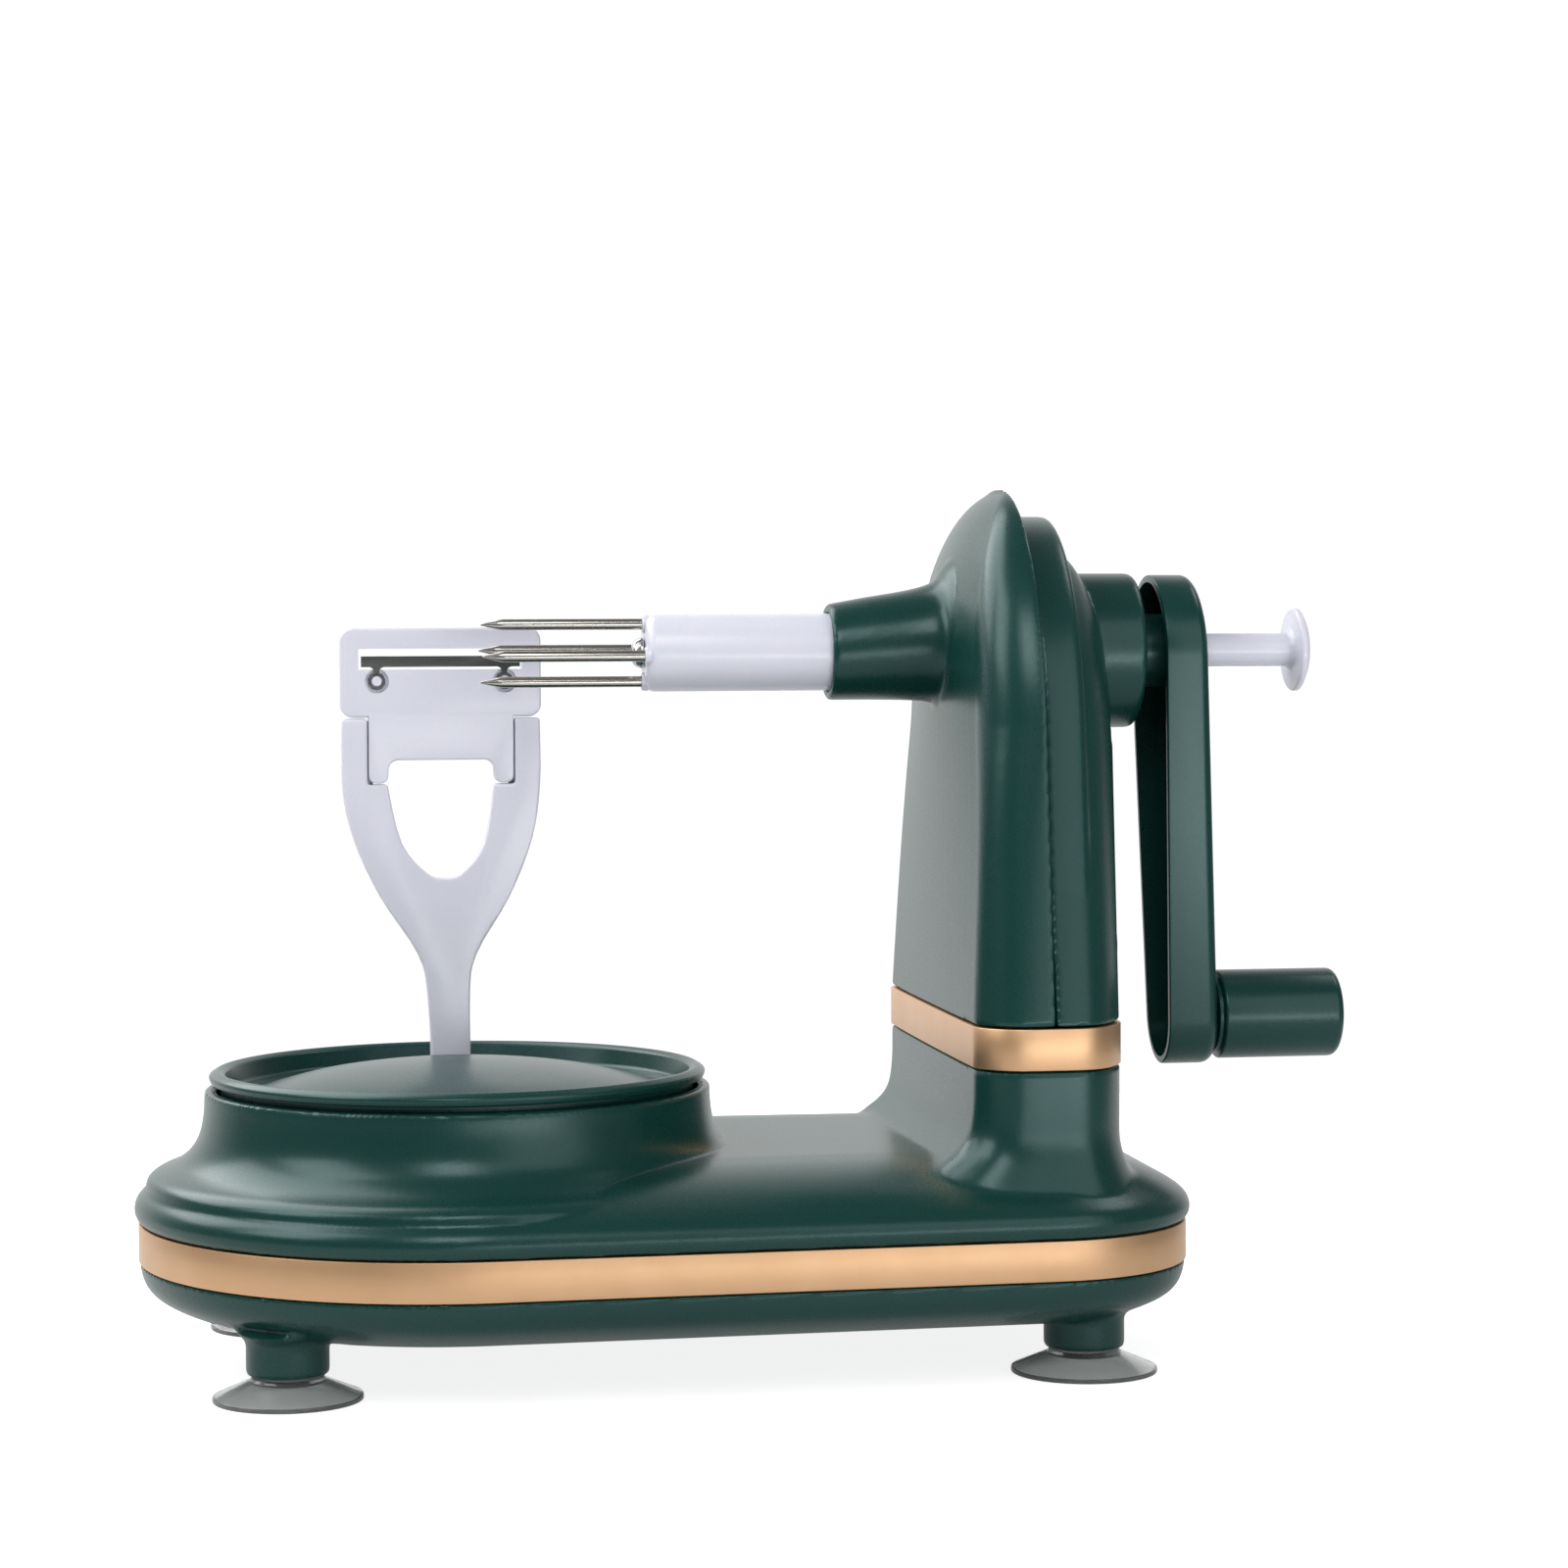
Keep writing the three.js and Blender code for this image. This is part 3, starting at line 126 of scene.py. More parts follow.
REAR_ARCH_TOP_Z = 226
REAR_ARCH_X = 161
REAR_ARCH_CORNER_R = 2.5
REAR_ARCH_TAPER = 1.5
REAR_DOME_TOP_Z = 217
REAR_DOME_TOP_X = 163
REAR_DOME_TAPER = 19
SEAM_LINE = 0.1                   # gap between the two tower shells, seen as a dark line
SNOUT_TIP_R = 13.1
BOSS_R = 21.2
BOSS_X = 165
BUSH_R = 12
SCREW_PAD_R = 5.2
TOWER_WELL_R = 3.8
CASE_WELL_R = 4.2

SHAFT_R = 7
AXLE_R = 2.5
AXLE_HEAD_R = 4.2
AXLE_HEAD_X = (200.2, 201.7)
ROD_R = 3                         # the ejector rod, which runs through the hollow shaft
ROD_TAIL_R = 4.6                  # and its thicker part on the crank's side
CRANK_RIM_X = 193.7               # the crank's rim at the knob
CRANK_RIM_LEAN = 2.5              # how much nearer to the tower it is at the shaft
CRANK_FACE_X = KNOB_LOW.x - 1     # the crank's face at the knob
CRANK_FACE_LEAN = 4.5             # how much nearer to the tower it is at the shaft

PIN_Z = 65.5                      # hinge of the blade arm
PIN_HOLE_R = 1.8

# ---------------------------------------------------------------- outlines


def lerp(a, b, t):
    return a + (b - a) * t


def along(pairs, z):
    """Value at z on a smooth line through (z, value) pairs."""
    if z <= pairs[0][0]:
        return pairs[0][1]
    if z >= pairs[-1][0]:
        return pairs[-1][1]
    i = next(k for k in range(1, len(pairs)) if z <= pairs[k][0])
    slopes = [slope_at(pairs, k) for k in (i - 1, i)]
    (z0, v0), (z1, v1) = pairs[i - 1], pairs[i]
    step = z1 - z0
    t = (z - z0) / step
    return (v0 * (1 + 2 * t) * (1 - t) ** 2 + slopes[0] * step * t * (1 - t) ** 2
            + v1 * t ** 2 * (3 - 2 * t) - slopes[1] * step * t ** 2 * (1 - t))


def slope_at(pairs, k):
    """Slope that keeps the line through the pairs free of overshoot."""
    if k in (0, len(pairs) - 1):
        a, b = (0, 1) if k == 0 else (k - 1, k)
        return (pairs[b][1] - pairs[a][1]) / (pairs[b][0] - pairs[a][0])
    before = (pairs[k][1] - pairs[k - 1][1]) / (pairs[k][0] - pairs[k - 1][0])
    after = (pairs[k + 1][1] - pairs[k][1]) / (pairs[k + 1][0] - pairs[k][0])
    if before * after <= 0:
        return 0
    return 2 * before * after / (before + after)


def curved(points, steps=4):
    """A smooth line through the points, with each stretch cut into steps."""
    ends = [points[0], *points, points[-1]]
    line = []
    for i in range(1, len(ends) - 2):
        a, b, c, d = ends[i - 1:i + 3]
        for k in range(steps):
            t = k / steps
            line.append(tuple(
                0.5 * (2 * q + (r - p) * t + (2 * p - 5 * q + 4 * r - s) * t ** 2
                       + (3 * q - p - 3 * r + s) * t ** 3)
                for p, q, r, s in zip(a, b, c, d)))
    return [*line, tuple(points[-1])]


def filleted(points, steps=5, closed=False):
    """A line through (a, b, radius) corners, each rounded by an arc of its radius."""
    count = len(points)
    line = []
    for i, (x, y, radius) in enumerate(points):
        ends = not closed and i in (0, count - 1)
        if radius == 0 or ends:
            line.append((x, y))
            continue
        here = Vector((x, y))
        before = Vector(points[i - 1][:2]) - here
        after = Vector(points[(i + 1) % count][:2]) - here
        half = before.angle(after) / 2
        reach = min(radius / math.tan(half), before.length * 0.49, after.length * 0.49)
        radius = reach * math.tan(half)
        start = here + before.normalized() * reach
        end = here + after.normalized() * reach
        centre = here + (before.normalized() + after.normalized()).normalized() * radius / math.sin(half)
        a, b = start - centre, end - centre
        turn = a.angle_signed(b)
        for k in range(steps + 1):
            swing = Matrix.Rotation(-turn * k / steps, 2)
            line.append(tuple(centre + swing @ a))
    return line


def circle(radius, a, b, segments):
    """Points round a circle whose centre is at (a, b)."""
    return [(a + radius * math.cos(math.tau * k / segments), b + radius * math.sin(math.tau * k / segments))
            for k in range(segments)]


def base_ring(z, inset):
    """The base's outline: one large circle round the turntable's axis and two corner circles."""
    side = math.atan2(CORNER_Y, CORNER_X) + math.acos((END_R - CORNER_R) / math.hypot(CORNER_X, CORNER_Y))
    ring = []
    for x, y, radius, start, end, steps in (
            (CORNER_X, -CORNER_Y, CORNER_R, -side, 0, 24),
            (CORNER_X, CORNER_Y, CORNER_R, 0, side, 24),
            (0, 0, END_R, side, 2 * math.pi - side, 96)):
        for i in range(steps + 1):
            angle = lerp(start, end, i / steps)
            ring.append((x + (radius - inset) * math.cos(angle), y + (radius - inset) * math.sin(angle), z))
    return ring


SIDE_STEPS = 12
CORNER_STEPS = 12
FACE_STEPS = 8


def half_slice(z, seam_x, seam_half, end_x, end_half, crown, radius):
    """Half a horizontal slice of the tower, from the seam plane out to one face and back.

    Each side bends inwards by a power of the way out, and a curve of about the radius takes it into the face.
    """
    toward = math.copysign(1, end_x - seam_x)
    depth = abs(end_x - seam_x)
    bend = min(radius, end_half * 0.96, depth * 0.96)
    reach = 1 - bend / depth
    power = lerp(SHARP_POWER, ROUND_POWER, bend / depth)
    drop = seam_half - end_half

    def side_y(t):
        return seam_half - drop * t ** power

    side = (lerp(seam_x, end_x, reach), side_y(reach))
    corner = (end_x, side[1] - bend * drop / depth * power * reach ** (power - 1))
    face_y = corner[1] - min(bend, corner[1] * 0.9)

    def face_x(y):
        return end_x + toward * crown * (1 - (y / face_y) ** 2)

    shares = [reach * i / SIDE_STEPS for i in range(SIDE_STEPS + 1)]
    half = [(lerp(seam_x, end_x, share), side_y(share)) for share in shares]
    for i in range(1, CORNER_STEPS + 1):
        t = i / CORNER_STEPS
        half.append(tuple((1 - t) ** 2 * s + 2 * t * (1 - t) * c + t ** 2 * f
                          for s, c, f in zip(side, corner, (end_x, face_y))))
    for i in range(1, FACE_STEPS):
        y = face_y * (1 - i / FACE_STEPS)
        half.append((face_x(y), y))
    near = [(x, y, z) for x, y in half]
    far = [(x, -y, z) for x, y in reversed(half)]
    return [*near, (face_x(0), 0, z), *far]


def arch_width(z, straight, top_z):
    """Straight sides up to the shoulder, closed above it by an arch."""
    if z <= SHOULDER_Z:
        return along(straight, z)
    rise = min((z - SHOULDER_Z) / (top_z - SHOULDER_Z), 1)
    (z0, width0), (z1, width1) = straight[-2:]
    side = width1 + (width1 - width0) / (z1 - z0) * (z - z1)
    return side * (1 - rise ** ARCH_POWER) ** (1 / ARCH_POWER)


def arch_heights(bottom, top, straight=16, curved_steps=36):
    """Levels up the tower, closer together towards the top of the arch."""
    lower = [lerp(bottom, SHOULDER_Z, i / straight) for i in range(straight)]
    upper = [lerp(SHOULDER_Z, top, math.sin(math.pi / 2 * i / curved_steps))
             for i in range(curved_steps + 1)]
    return lower + upper


SHELL_BOTTOM_Z = TOWER_BAND_HIGH.z
FRONT_SEAM = [(SHELL_BOTTOM_Z, SEAM_HALF), (SHOULDER_Z, 61)]
FRONT_FACE = [(SHELL_BOTTOM_Z, FACE_HALF), (SHOULDER_Z, 54)]
FACE_LEAN = [(SHELL_BOTTOM_Z, 0), (SHOULDER_Z, 3.6), (205, 4.6)]
FACE_CROWN = [(SHELL_BOTTOM_Z, FLAT_CROWN), (SHOULDER_Z, 2.4), (205, 3)]
FACE_CORNER = [(SHELL_BOTTOM_Z, FACE_CORNER_R), (120, 5), (150, 10), (175, 17), (200, 30)]
REAR_ARCH = [(SHELL_BOTTOM_Z, 66), (130, 61), (SHOULDER_Z, 56)]
REAR_DOME = [(SHELL_BOTTOM_Z, SEAM_HALF - 0.3), (SHOULDER_Z, 51)]
DOME_LEAN = [(SHELL_BOTTOM_Z, 0), (SHOULDER_Z, BACK_LEAN)]
FACE_TOP_X = SEAM_X - 1.5
LEAST_SEAM_HALF = 0.8             # a slice at the very top of an arch still has some width
LEAST_END_HALF = 0.7


def front_slice(z, inset, seam_x, top_z):
    rise = min(max((z - CURL_Z) / (top_z - CURL_Z), 0), 1)
    face = lerp(FACE_TOP_X, FACE_X + inset, math.sqrt(1 - rise ** 2))
    seam_half = max(arch_width(z, FRONT_SEAM, top_z) - inset, LEAST_SEAM_HALF)
    face_half = min(arch_width(z, FRONT_FACE, top_z) - inset, seam_half * 0.94)
    return half_slice(z, seam_x, seam_half, min(face + along(FACE_LEAN, z), SEAM_X - 1),
                      max(face_half, LEAST_END_HALF), along(FACE_CROWN, z) * math.sqrt(1 - rise ** 2),
                      along(FACE_CORNER, z))


def rear_slice(z, inset, seam_x, end_x, widths, top_z, radius, taper):
    seam_half = max(arch_width(z, widths, top_z) - inset, LEAST_SEAM_HALF)
    end_half = max(seam_half - min(taper, 0.4 * seam_half), LEAST_END_HALF)
    return half_slice(z, seam_x, seam_half, max(end_x - inset, seam_x + 1), end_half, FLAT_CROWN,
                      radius)


def dome_back_x(z):
    rise = min(max((z - SHOULDER_Z) / (REAR_DOME_TOP_Z - SHOULDER_Z), 0), 1)
    return lerp(REAR_DOME_TOP_X, BACK_X + along(DOME_LEAN, z), math.sqrt(1 - rise ** 2))


def foot_ring(z, inset, flare=0):
    """The foot of the tower and its band: the two halves of a slice, joined at the seam plane."""
    seam_half = SEAM_HALF - inset
    front = half_slice(z, SEAM_X, seam_half, FACE_X + inset - flare, FACE_HALF - inset, FLAT_CROWN,
                       FACE_CORNER_R)
    rear = half_slice(z, SEAM_X, seam_half, BACK_X - inset, BACK_HALF - inset, FLAT_CROWN, BACK_CORNER_R)
    return [*front, *reversed(rear[1:-1])]


CRANK_STEPS = 48


def crank_ring(share, inset):
    """The crank's outline at a share of the way from rim to face. It leans to the tower at the shaft."""
    top_r = (CRANK_HIGH.y - CRANK_LOW.y) / 2
    end_r = KNOB_Z - CRANK_LOW.z
    reach = AXIS_Z - KNOB_Z
    tangent = math.asin((top_r - end_r) / reach)
    ring = []
    for z, radius, start, end in ((AXIS_Z, top_r, -tangent, math.pi + tangent),
                                  (KNOB_Z, end_r, math.pi + tangent, 2 * math.pi - tangent)):
        for i in range(CRANK_STEPS + 1):
            angle = lerp(start, end, i / CRANK_STEPS)
            level = z + (radius - inset) * math.sin(angle)
            up = (level - KNOB_Z) / reach
            x = lerp(CRANK_RIM_X - CRANK_RIM_LEAN * up, CRANK_FACE_X - CRANK_FACE_LEAN * up, share)
            ring.append((x, (radius - inset) * math.cos(angle), level))
    return ring


# ---------------------------------------------------------------- solids


def work_object(points, faces):
    """A closed mesh in millimetres, with its faces pointing out."""
    mesh = bpy.data.meshes.new("work")
    mesh.from_pydata([tuple(p) for p in points], [], faces)
    tidy = bmesh.new()
    tidy.from_mesh(mesh)
    bmesh.ops.remove_doubles(tidy, verts=tidy.verts, dist=1e-4)
    bmesh.ops.recalc_face_normals(tidy, faces=tidy.faces)
    tidy.to_mesh(mesh)
    tidy.free()
    obj = bpy.data.objects.new("work", mesh)
    bpy.context.scene.collection.objects.link(obj)
    return obj


def loft(rings):
    """A skin through rings with equal numbers of points, closed at both ends."""
    count = len(rings[0])
    points = [p for ring in rings for p in ring]
    faces = []
    for level in range(len(rings) - 1):
        low, high = level * count, (level + 1) * count
        for i in range(count):
            j = (i + 1) % count
            faces.append((low + i, low + j, high + j, high + i))
    for level in (0, len(rings) - 1):
        ring = range(level * count, (level + 1) * count)
        hub = len(points)
        points.append([sum(points[i][k] for i in ring) / count for k in range(3)])
        faces += [(hub, i, level * count + (i + 1 - level * count) % count) for i in ring]
    return work_object(points, faces)


def turned(profile, x=0, y=0, z=0, axis="Z", segments=96):
    """A turned solid. The profile is a list of (radius, distance along the axis)."""
    points = []
    for radius, height in profile:
        for i in range(segments):
            angle = 2 * math.pi * i / segments
            a, b = radius * math.cos(angle), radius * math.sin(angle)
            points.append((x + height, y + a, z + b) if axis == "X" else (x + a, y + b, z + height))
    faces = []
    open_ended = profile[0] != profile[-1]
    for level in range(len(profile) - 1):
        for i in range(segments):
            j = (i + 1) % segments
            low, high = level * segments, (level + 1) * segments
            ring = [low + i, low + j, high + j, high + i]
            if profile[level][0] == 0:
                ring = [low, high + j, high + i]
            elif profile[level + 1][0] == 0:
                ring = [low + i, low + j, high]
            faces.append(ring)
    if open_ended and profile[0][0] > 0:
        faces.append(list(range(segments)))
    if open_ended and profile[-1][0] > 0:
        faces.append(list(range((len(profile) - 1) * segments, len(profile) * segments)))
    return work_object(points, faces)


def rod(radius, start, end, x=0, y=0, z=0, axis="Z", round_by=0.0, segments=64):
    profile = [(0, start, 0), (radius, start, round_by), (radius, end, round_by), (0, end, 0)]
    return turned(filleted(profile), x, y, z, axis, segments)


def plate_xz(outline, y0, y1):
    """An outline of (x, z) points, given thickness from y0 to y1."""
    count = len(outline)
    points = [(x, y, z) for y in (y0, y1) for x, z in outline]
    sides = [(i, (i + 1) % count, count + (i + 1) % count, count + i) for i in range(count)]
    return work_object(points, [tuple(range(count)), tuple(range(count, 2 * count)), *sides])


def block(x0, x1, y0, y1, z0, z1):
    return plate_xz([(x0, z0), (x1, z0), (x1, z1), (x0, z1)], y0, y1)


def combine(body, others, operation):
    """Joins the others to a body or cuts them out of it."""
    for other in others:
        step = body.modifiers.new("combine", "BOOLEAN")
        step.solver = "MANIFOLD"
        step.operation = operation
        step.object = other
    baked = apply_modifiers(body)
    for other in others:
        bpy.data.objects.remove(other)
    return baked


def join(*bodies):
    return combine(bodies[0], bodies[1:], "UNION")


def cut(body, *tools):
    return combine(body, tools, "DIFFERENCE")


def apply_modifiers(obj):
    bpy.context.view_layer.update()
    evaluated = obj.evaluated_get(bpy.context.evaluated_depsgraph_get())
    mesh = bpy.data.meshes.new_from_object(evaluated)
    obj.modifiers.clear()
    obj.data = mesh
    return obj


def soften(obj, cell, rounds, corner=None, corner_rounds=0):
    """Even facets over the whole solid, then eases every edge and inner corner into a small radius.

    corner(point) is 1 where a wider radius is wanted and 0 away from it.
    """
    remesh = obj.modifiers.new("cells", "REMESH")
    remesh.mode = "VOXEL"
    remesh.voxel_size = cell
    apply_modifiers(obj)
    ease = obj.modifiers.new("ease", "SMOOTH")
    ease.factor = 0.5
    ease.iterations = rounds
    if corner:
        group = obj.vertex_groups.new(name="corner")
        for vertex in obj.data.vertices:
            weight = corner(vertex.co)
            if weight > 0:
                group.add([vertex.index], weight, "REPLACE")
        wide = obj.modifiers.new("corner", "SMOOTH")
        wide.factor = 0.5
        wide.iterations = corner_rounds
        wide.vertex_group = "corner"
    apply_modifiers(obj)
    obj.vertex_groups.clear()
    return obj


def near(value, low, high, margin):
    """1 between low and high, falling to 0 over the margin outside them."""
    return max(0, min(1, 1 + (value - low) / margin, 1 + (high - value) / margin))


def edge_round(obj, width, steps=3, angle=35):
    """A small radius on every sharp edge."""
    bevel = obj.modifiers.new("edges", "BEVEL")
    bevel.width = width
    bevel.segments = steps
    bevel.limit_method = "ANGLE"
    bevel.angle_limit = math.radians(angle)
    bevel.harden_normals = False
    return apply_modifiers(obj)


# ---------------------------------------------------------------- materials


def srgb(red, green, blue):
    """A colour in linear light from 0 to 255 screen values."""
    def linear(value):
        share = value / 255
        return share / 12.92 if share <= 0.04045 else ((share + 0.055) / 1.055) ** 2.4
    return (linear(red), linear(green), linear(blue), 1)


def new_material(name):
    material = bpy.data.materials.new(name)
    material.use_nodes = True
    return material, material.node_tree, material.node_tree.nodes["Principled BSDF"]


def noise(tree, scale, detail=3, stretch=(1, 1, 1)):
    """Noise at so many cycles per metre, in the piece's own space."""
    coords = tree.nodes.new("ShaderNodeTexCoord")
    mapping = tree.nodes.new("ShaderNodeMapping")
    mapping.inputs["Scale"].default_value = stretch
    texture = tree.nodes.new("ShaderNodeTexNoise")
    texture.inputs["Scale"].default_value = scale
    texture.inputs["Detail"].default_value = detail
    tree.links.new(coords.outputs["Object"], mapping.inputs["Vector"])
    tree.links.new(mapping.outputs["Vector"], texture.inputs["Vector"])
    return texture.outputs["Fac"]


def spread(tree, value, low, high):
    """Maps noise to a range."""
    ramp = tree.nodes.new("ShaderNodeMapRange")
    ramp.inputs["From Min"].default_value = 0.3
    ramp.inputs["From Max"].default_value = 0.7
    ramp.inputs["To Min"].default_value = low
    ramp.inputs["To Max"].default_value = high
    tree.links.new(value, ramp.inputs["Value"])
    return ramp.outputs["Result"]


def tint(tree, value, first, second):
    """A colour between two, by noise."""
    mix = tree.nodes.new("ShaderNodeMix")
    mix.data_type = "RGBA"
    mix.inputs["A"].default_value = first
    mix.inputs["B"].default_value = second
    tree.links.new(spread(tree, value, 0, 1), mix.inputs["Factor"])
    return mix.outputs["Result"]


def bump(tree, value, depth):
    """A surface height of so many metres."""
    node = tree.nodes.new("ShaderNodeBump")
    node.inputs["Strength"].default_value = 1
    node.inputs["Distance"].default_value = depth
    tree.links.new(value, node.inputs["Height"])
    return node.outputs["Normal"]


def textured(name, colours, roughness, grain, depth, cloud=25, stretch=(1, 1, 1), **settings):
    """A surface whose colour varies slowly, with a fine grain in its gloss and height."""
    material, tree, shader = new_material(name)
    slow = noise(tree, cloud)
    fine = noise(tree, grain, 2, stretch)
    tree.links.new(tint(tree, slow, *colours), shader.inputs["Base Color"])
    tree.links.new(spread(tree, fine, *roughness), shader.inputs["Roughness"])
    tree.links.new(bump(tree, fine, depth), shader.inputs["Normal"])
    for socket, value in settings.items():
        shader.inputs[socket.replace("_", " ")].default_value = value
    return material


GREEN_COLOURS = (srgb(8, 51, 46), srgb(10, 54, 49))
WHITE_COLOURS = (srgb(212, 213, 226), srgb(218, 219, 231))
GOLD_COLOURS = (srgb(211, 170, 129), srgb(218, 178, 138))
STEEL_COLOURS = (srgb(176, 172, 166), srgb(190, 187, 182))
BLADE_COLOURS = (srgb(120, 122, 122), srgb(138, 140, 140))
SCREW_COLOURS = (srgb(190, 190, 190), srgb(205, 205, 206))
BRASS_COLOURS = (srgb(168, 130, 78), srgb(182, 144, 92))
NYLON_COLOURS = (srgb(216, 210, 192), srgb(224, 219, 203))
CUP_COLOURS = (srgb(206, 210, 209), srgb(214, 217, 216))

# Two colours, a range of roughness, the grain's cycles per metre and the bump's depth in metres.
MATERIALS = {
    "green_plastic": textured("green_plastic", GREEN_COLOURS, (0.26, 0.32), 2600, 2e-6,
                              Specular_Tint=(0.7, 0.95, 0.95, 1)),
    "white_plastic": textured("white_plastic", WHITE_COLOURS, (0.22, 0.28), 1800, 2e-6,
                              Subsurface_Weight=0.12, Subsurface_Scale=0.004),
    "gold_trim": textured("gold_trim", GOLD_COLOURS, (0.42, 0.48), 3500, 1.5e-6, cloud=60,
                          Metallic=1, Coat_Weight=0.3, Coat_Roughness=0.3),
    "steel": textured("steel", STEEL_COLOURS, (0.16, 0.28), 700, 2e-6,
                      stretch=(0.04, 1, 1), Metallic=1),
    "blade_steel": textured("blade_steel", BLADE_COLOURS, (0.12, 0.2), 900, 1e-6,
                            stretch=(0.05, 1, 1), Metallic=1),
    "screw_steel": textured("screw_steel", SCREW_COLOURS, (0.15, 0.25), 900, 1e-6,
                            Metallic=1),
    "bush_brass": textured("bush_brass", BRASS_COLOURS, (0.35, 0.5), 2000, 4e-6,
                           Metallic=1),
    "gear_nylon": textured("gear_nylon", NYLON_COLOURS, (0.4, 0.5), 1500, 3e-6,
                           Subsurface_Weight=0.1, Subsurface_Scale=0.002),
    "cup_rubber": textured("cup_rubber", CUP_COLOURS, (0.08, 0.14), 500, 2e-6,
                           Transmission_Weight=0.92, IOR=1.5),
}

SLOT_OF = {
    **dict.fromkeys(("base_lower_shell", "base_upper_shell", "tower_front_shell", "tower_rear_shell",
                     "turntable", "crank_arm", "crank_knob"), "green_plastic"),
    **dict.fromkeys(("fork_hub", "ejector_rod", "blade_arm", "blade_cartridge",
                     "blade_peg_1", "blade_peg_2"), "white_plastic"),
    **dict.fromkeys(("base_band", "tower_band"), "gold_trim"),
    **dict.fromkeys(("main_shaft", "layshaft", "idler_axle", "knob_axle", "arm_pin", "arm_spring",
                     *[f"prong_{k}" for k in range(1, 5)]), "steel"),
    "peeling_blade": "blade_steel",
    **dict.fromkeys(("pusher_screw", "turntable_screw", *[f"case_screw_{k}" for k in range(1, 5)],
                     *[f"tower_screw_{k}" for k in range(1, 5)]), "screw_steel"),
    **dict.fromkeys(("shaft_bush_front", "shaft_bush_rear", "layshaft_bush_upper", "layshaft_bush_lower",
                     "turntable_bush"), "bush_brass"),
    **dict.fromkeys(("worm", "worm_wheel", "pinion", "idler_gear", "turntable_gear"), "gear_nylon"),
    **dict.fromkeys([f"suction_cup_{k}" for k in range(1, 5)], "cup_rubber"),
}
BODY_OF = {node: body for body, nodes in frame["record"]["behaviour"]["bodies"].items() for node in nodes}

# ---------------------------------------------------------------- pieces


def piece(node, obj, sharp=30):
    """Finishes a solid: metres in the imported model's frame, smooth shading, material and node."""
    mesh = obj.data
    mesh.transform(Matrix.Translation(ORIGIN) @ Matrix.Scale(MM, 4))
    mesh.shade_smooth()
    mesh.set_sharp_from_angle(angle=math.radians(sharp))
    mesh.materials.clear()
    mesh.materials.append(MATERIALS[SLOT_OF[node]])
    obj.name = f"fine_{node}"
    mesh.name = obj.name
    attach(obj, BODY_OF[node])
    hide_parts(node)
    return obj


# Base.


def base_loft(levels):
    return loft([base_ring(z, inset) for z, inset in levels])


def lower_shell():
    outside = base_loft(
        [*curved([(FLOOR_Z, 16), (17.6, 8.6), (20.5, 3.6), (24, 1.2), (28.2, 0.3)]),
         (28.2, TRIM_WALL + GAP), (BAND_HIGH.z - GAP, TRIM_WALL + GAP)])
    cavity = base_loft([(FLOOR_Z + WALL, 14), (23, 5.1), (BAND_HIGH.z + 1, 5.1)])
    posts = [turned(filleted([(0, LOWER_LOW.z, 0), (POST_R, LOWER_LOW.z, 1.2), (POST_R, 16, 3.6), (14, 18, 0),
                              (0, 18, 0)]), p.x, p.y) for p in FEET]
    sockets = [rod(CUP_STEM_R + GAP, LOWER_LOW.z - 1, LOWER_LOW.z + 5 + GAP, p.x, p.y) for p in FEET]
    screws = [middle(f"case_screw_{k}") for k in range(1, 5)]
    wells = [rod(CASE_WELL_R, 10, 18.4, p.x, p.y) for p in screws]
    shell = join(cut(outside, cavity), *posts)

    def post_root(point):
        reach = min((point.xy - foot.xy).length for foot in FEET)
        return near(reach, 12, 16, 2) * near(point.z, 15, 19, 1.5)

    return soften(cut(shell, *sockets, *wells), FINE_CELL, 4, post_root, 24)


def upper_shell():
    deck = base_loft(curved([(BAND_HIGH.z + GAP, 0.3), (41.6, -1), (45.2, -0.2), (48.6, 3.8), (52.2, 11),
                             (55, 20), (56.6, 30), (57.3, 42)]))
    flare = curved([(83.4, 44.6), (83.3, 48.6), (82.6, 50.3), (80.6, 51.7), (77.6, 52.9), (74.4, 54.7),
                    (71.3, 57.6), (69.2, 61.4), (68.2, 65.6), (67.8, 69)])
    rim = filleted([(67.8, 69, 0), (67.6, COLLAR_TOP_Z, 0.9), (COLLAR_BORE_R, COLLAR_TOP_Z, 0.9),
                    (COLLAR_BORE_R, 44.6, 0)])
    collar = turned([*flare, *rim[1:], flare[0]], segments=160)
    foot = loft([foot_ring(*level) for level in [
        *curved([(50, -3.6, 10), (53.4, -2.4, 9.4), (57, -1.1, 7), (60, -0.3, 4), (64, 0, 1.4),
                 (71, 0, 0.2), (TOWER_BAND_LOW.z - GAP, 0, 0)]),
        (TOWER_BAND_LOW.z - GAP, TRIM_WALL + GAP, 0), (TOWER_BAND_HIGH.z - GAP, TRIM_WALL + GAP, 0)]])
    cavity = base_loft([(BAND_HIGH.z - 1, 3.2), (44.6, 3.2), (49.4, 11), (52.3, 21), (54.4, 38)])
    well = rod(COLLAR_BORE_R, BAND_HIGH.z - 1, 80, segments=160)
    tower_well = loft([foot_ring(49, 5), foot_ring(TOWER_BAND_HIGH.z + 1, 5)])

    def foot_root(point):
        return near(point.z, 52, 62, 5) * near(point.x, 105, 190, 6)

    return soften(cut(join(deck, collar, foot), cavity, well, tower_well), FINE_CELL, 3, foot_root, 40)


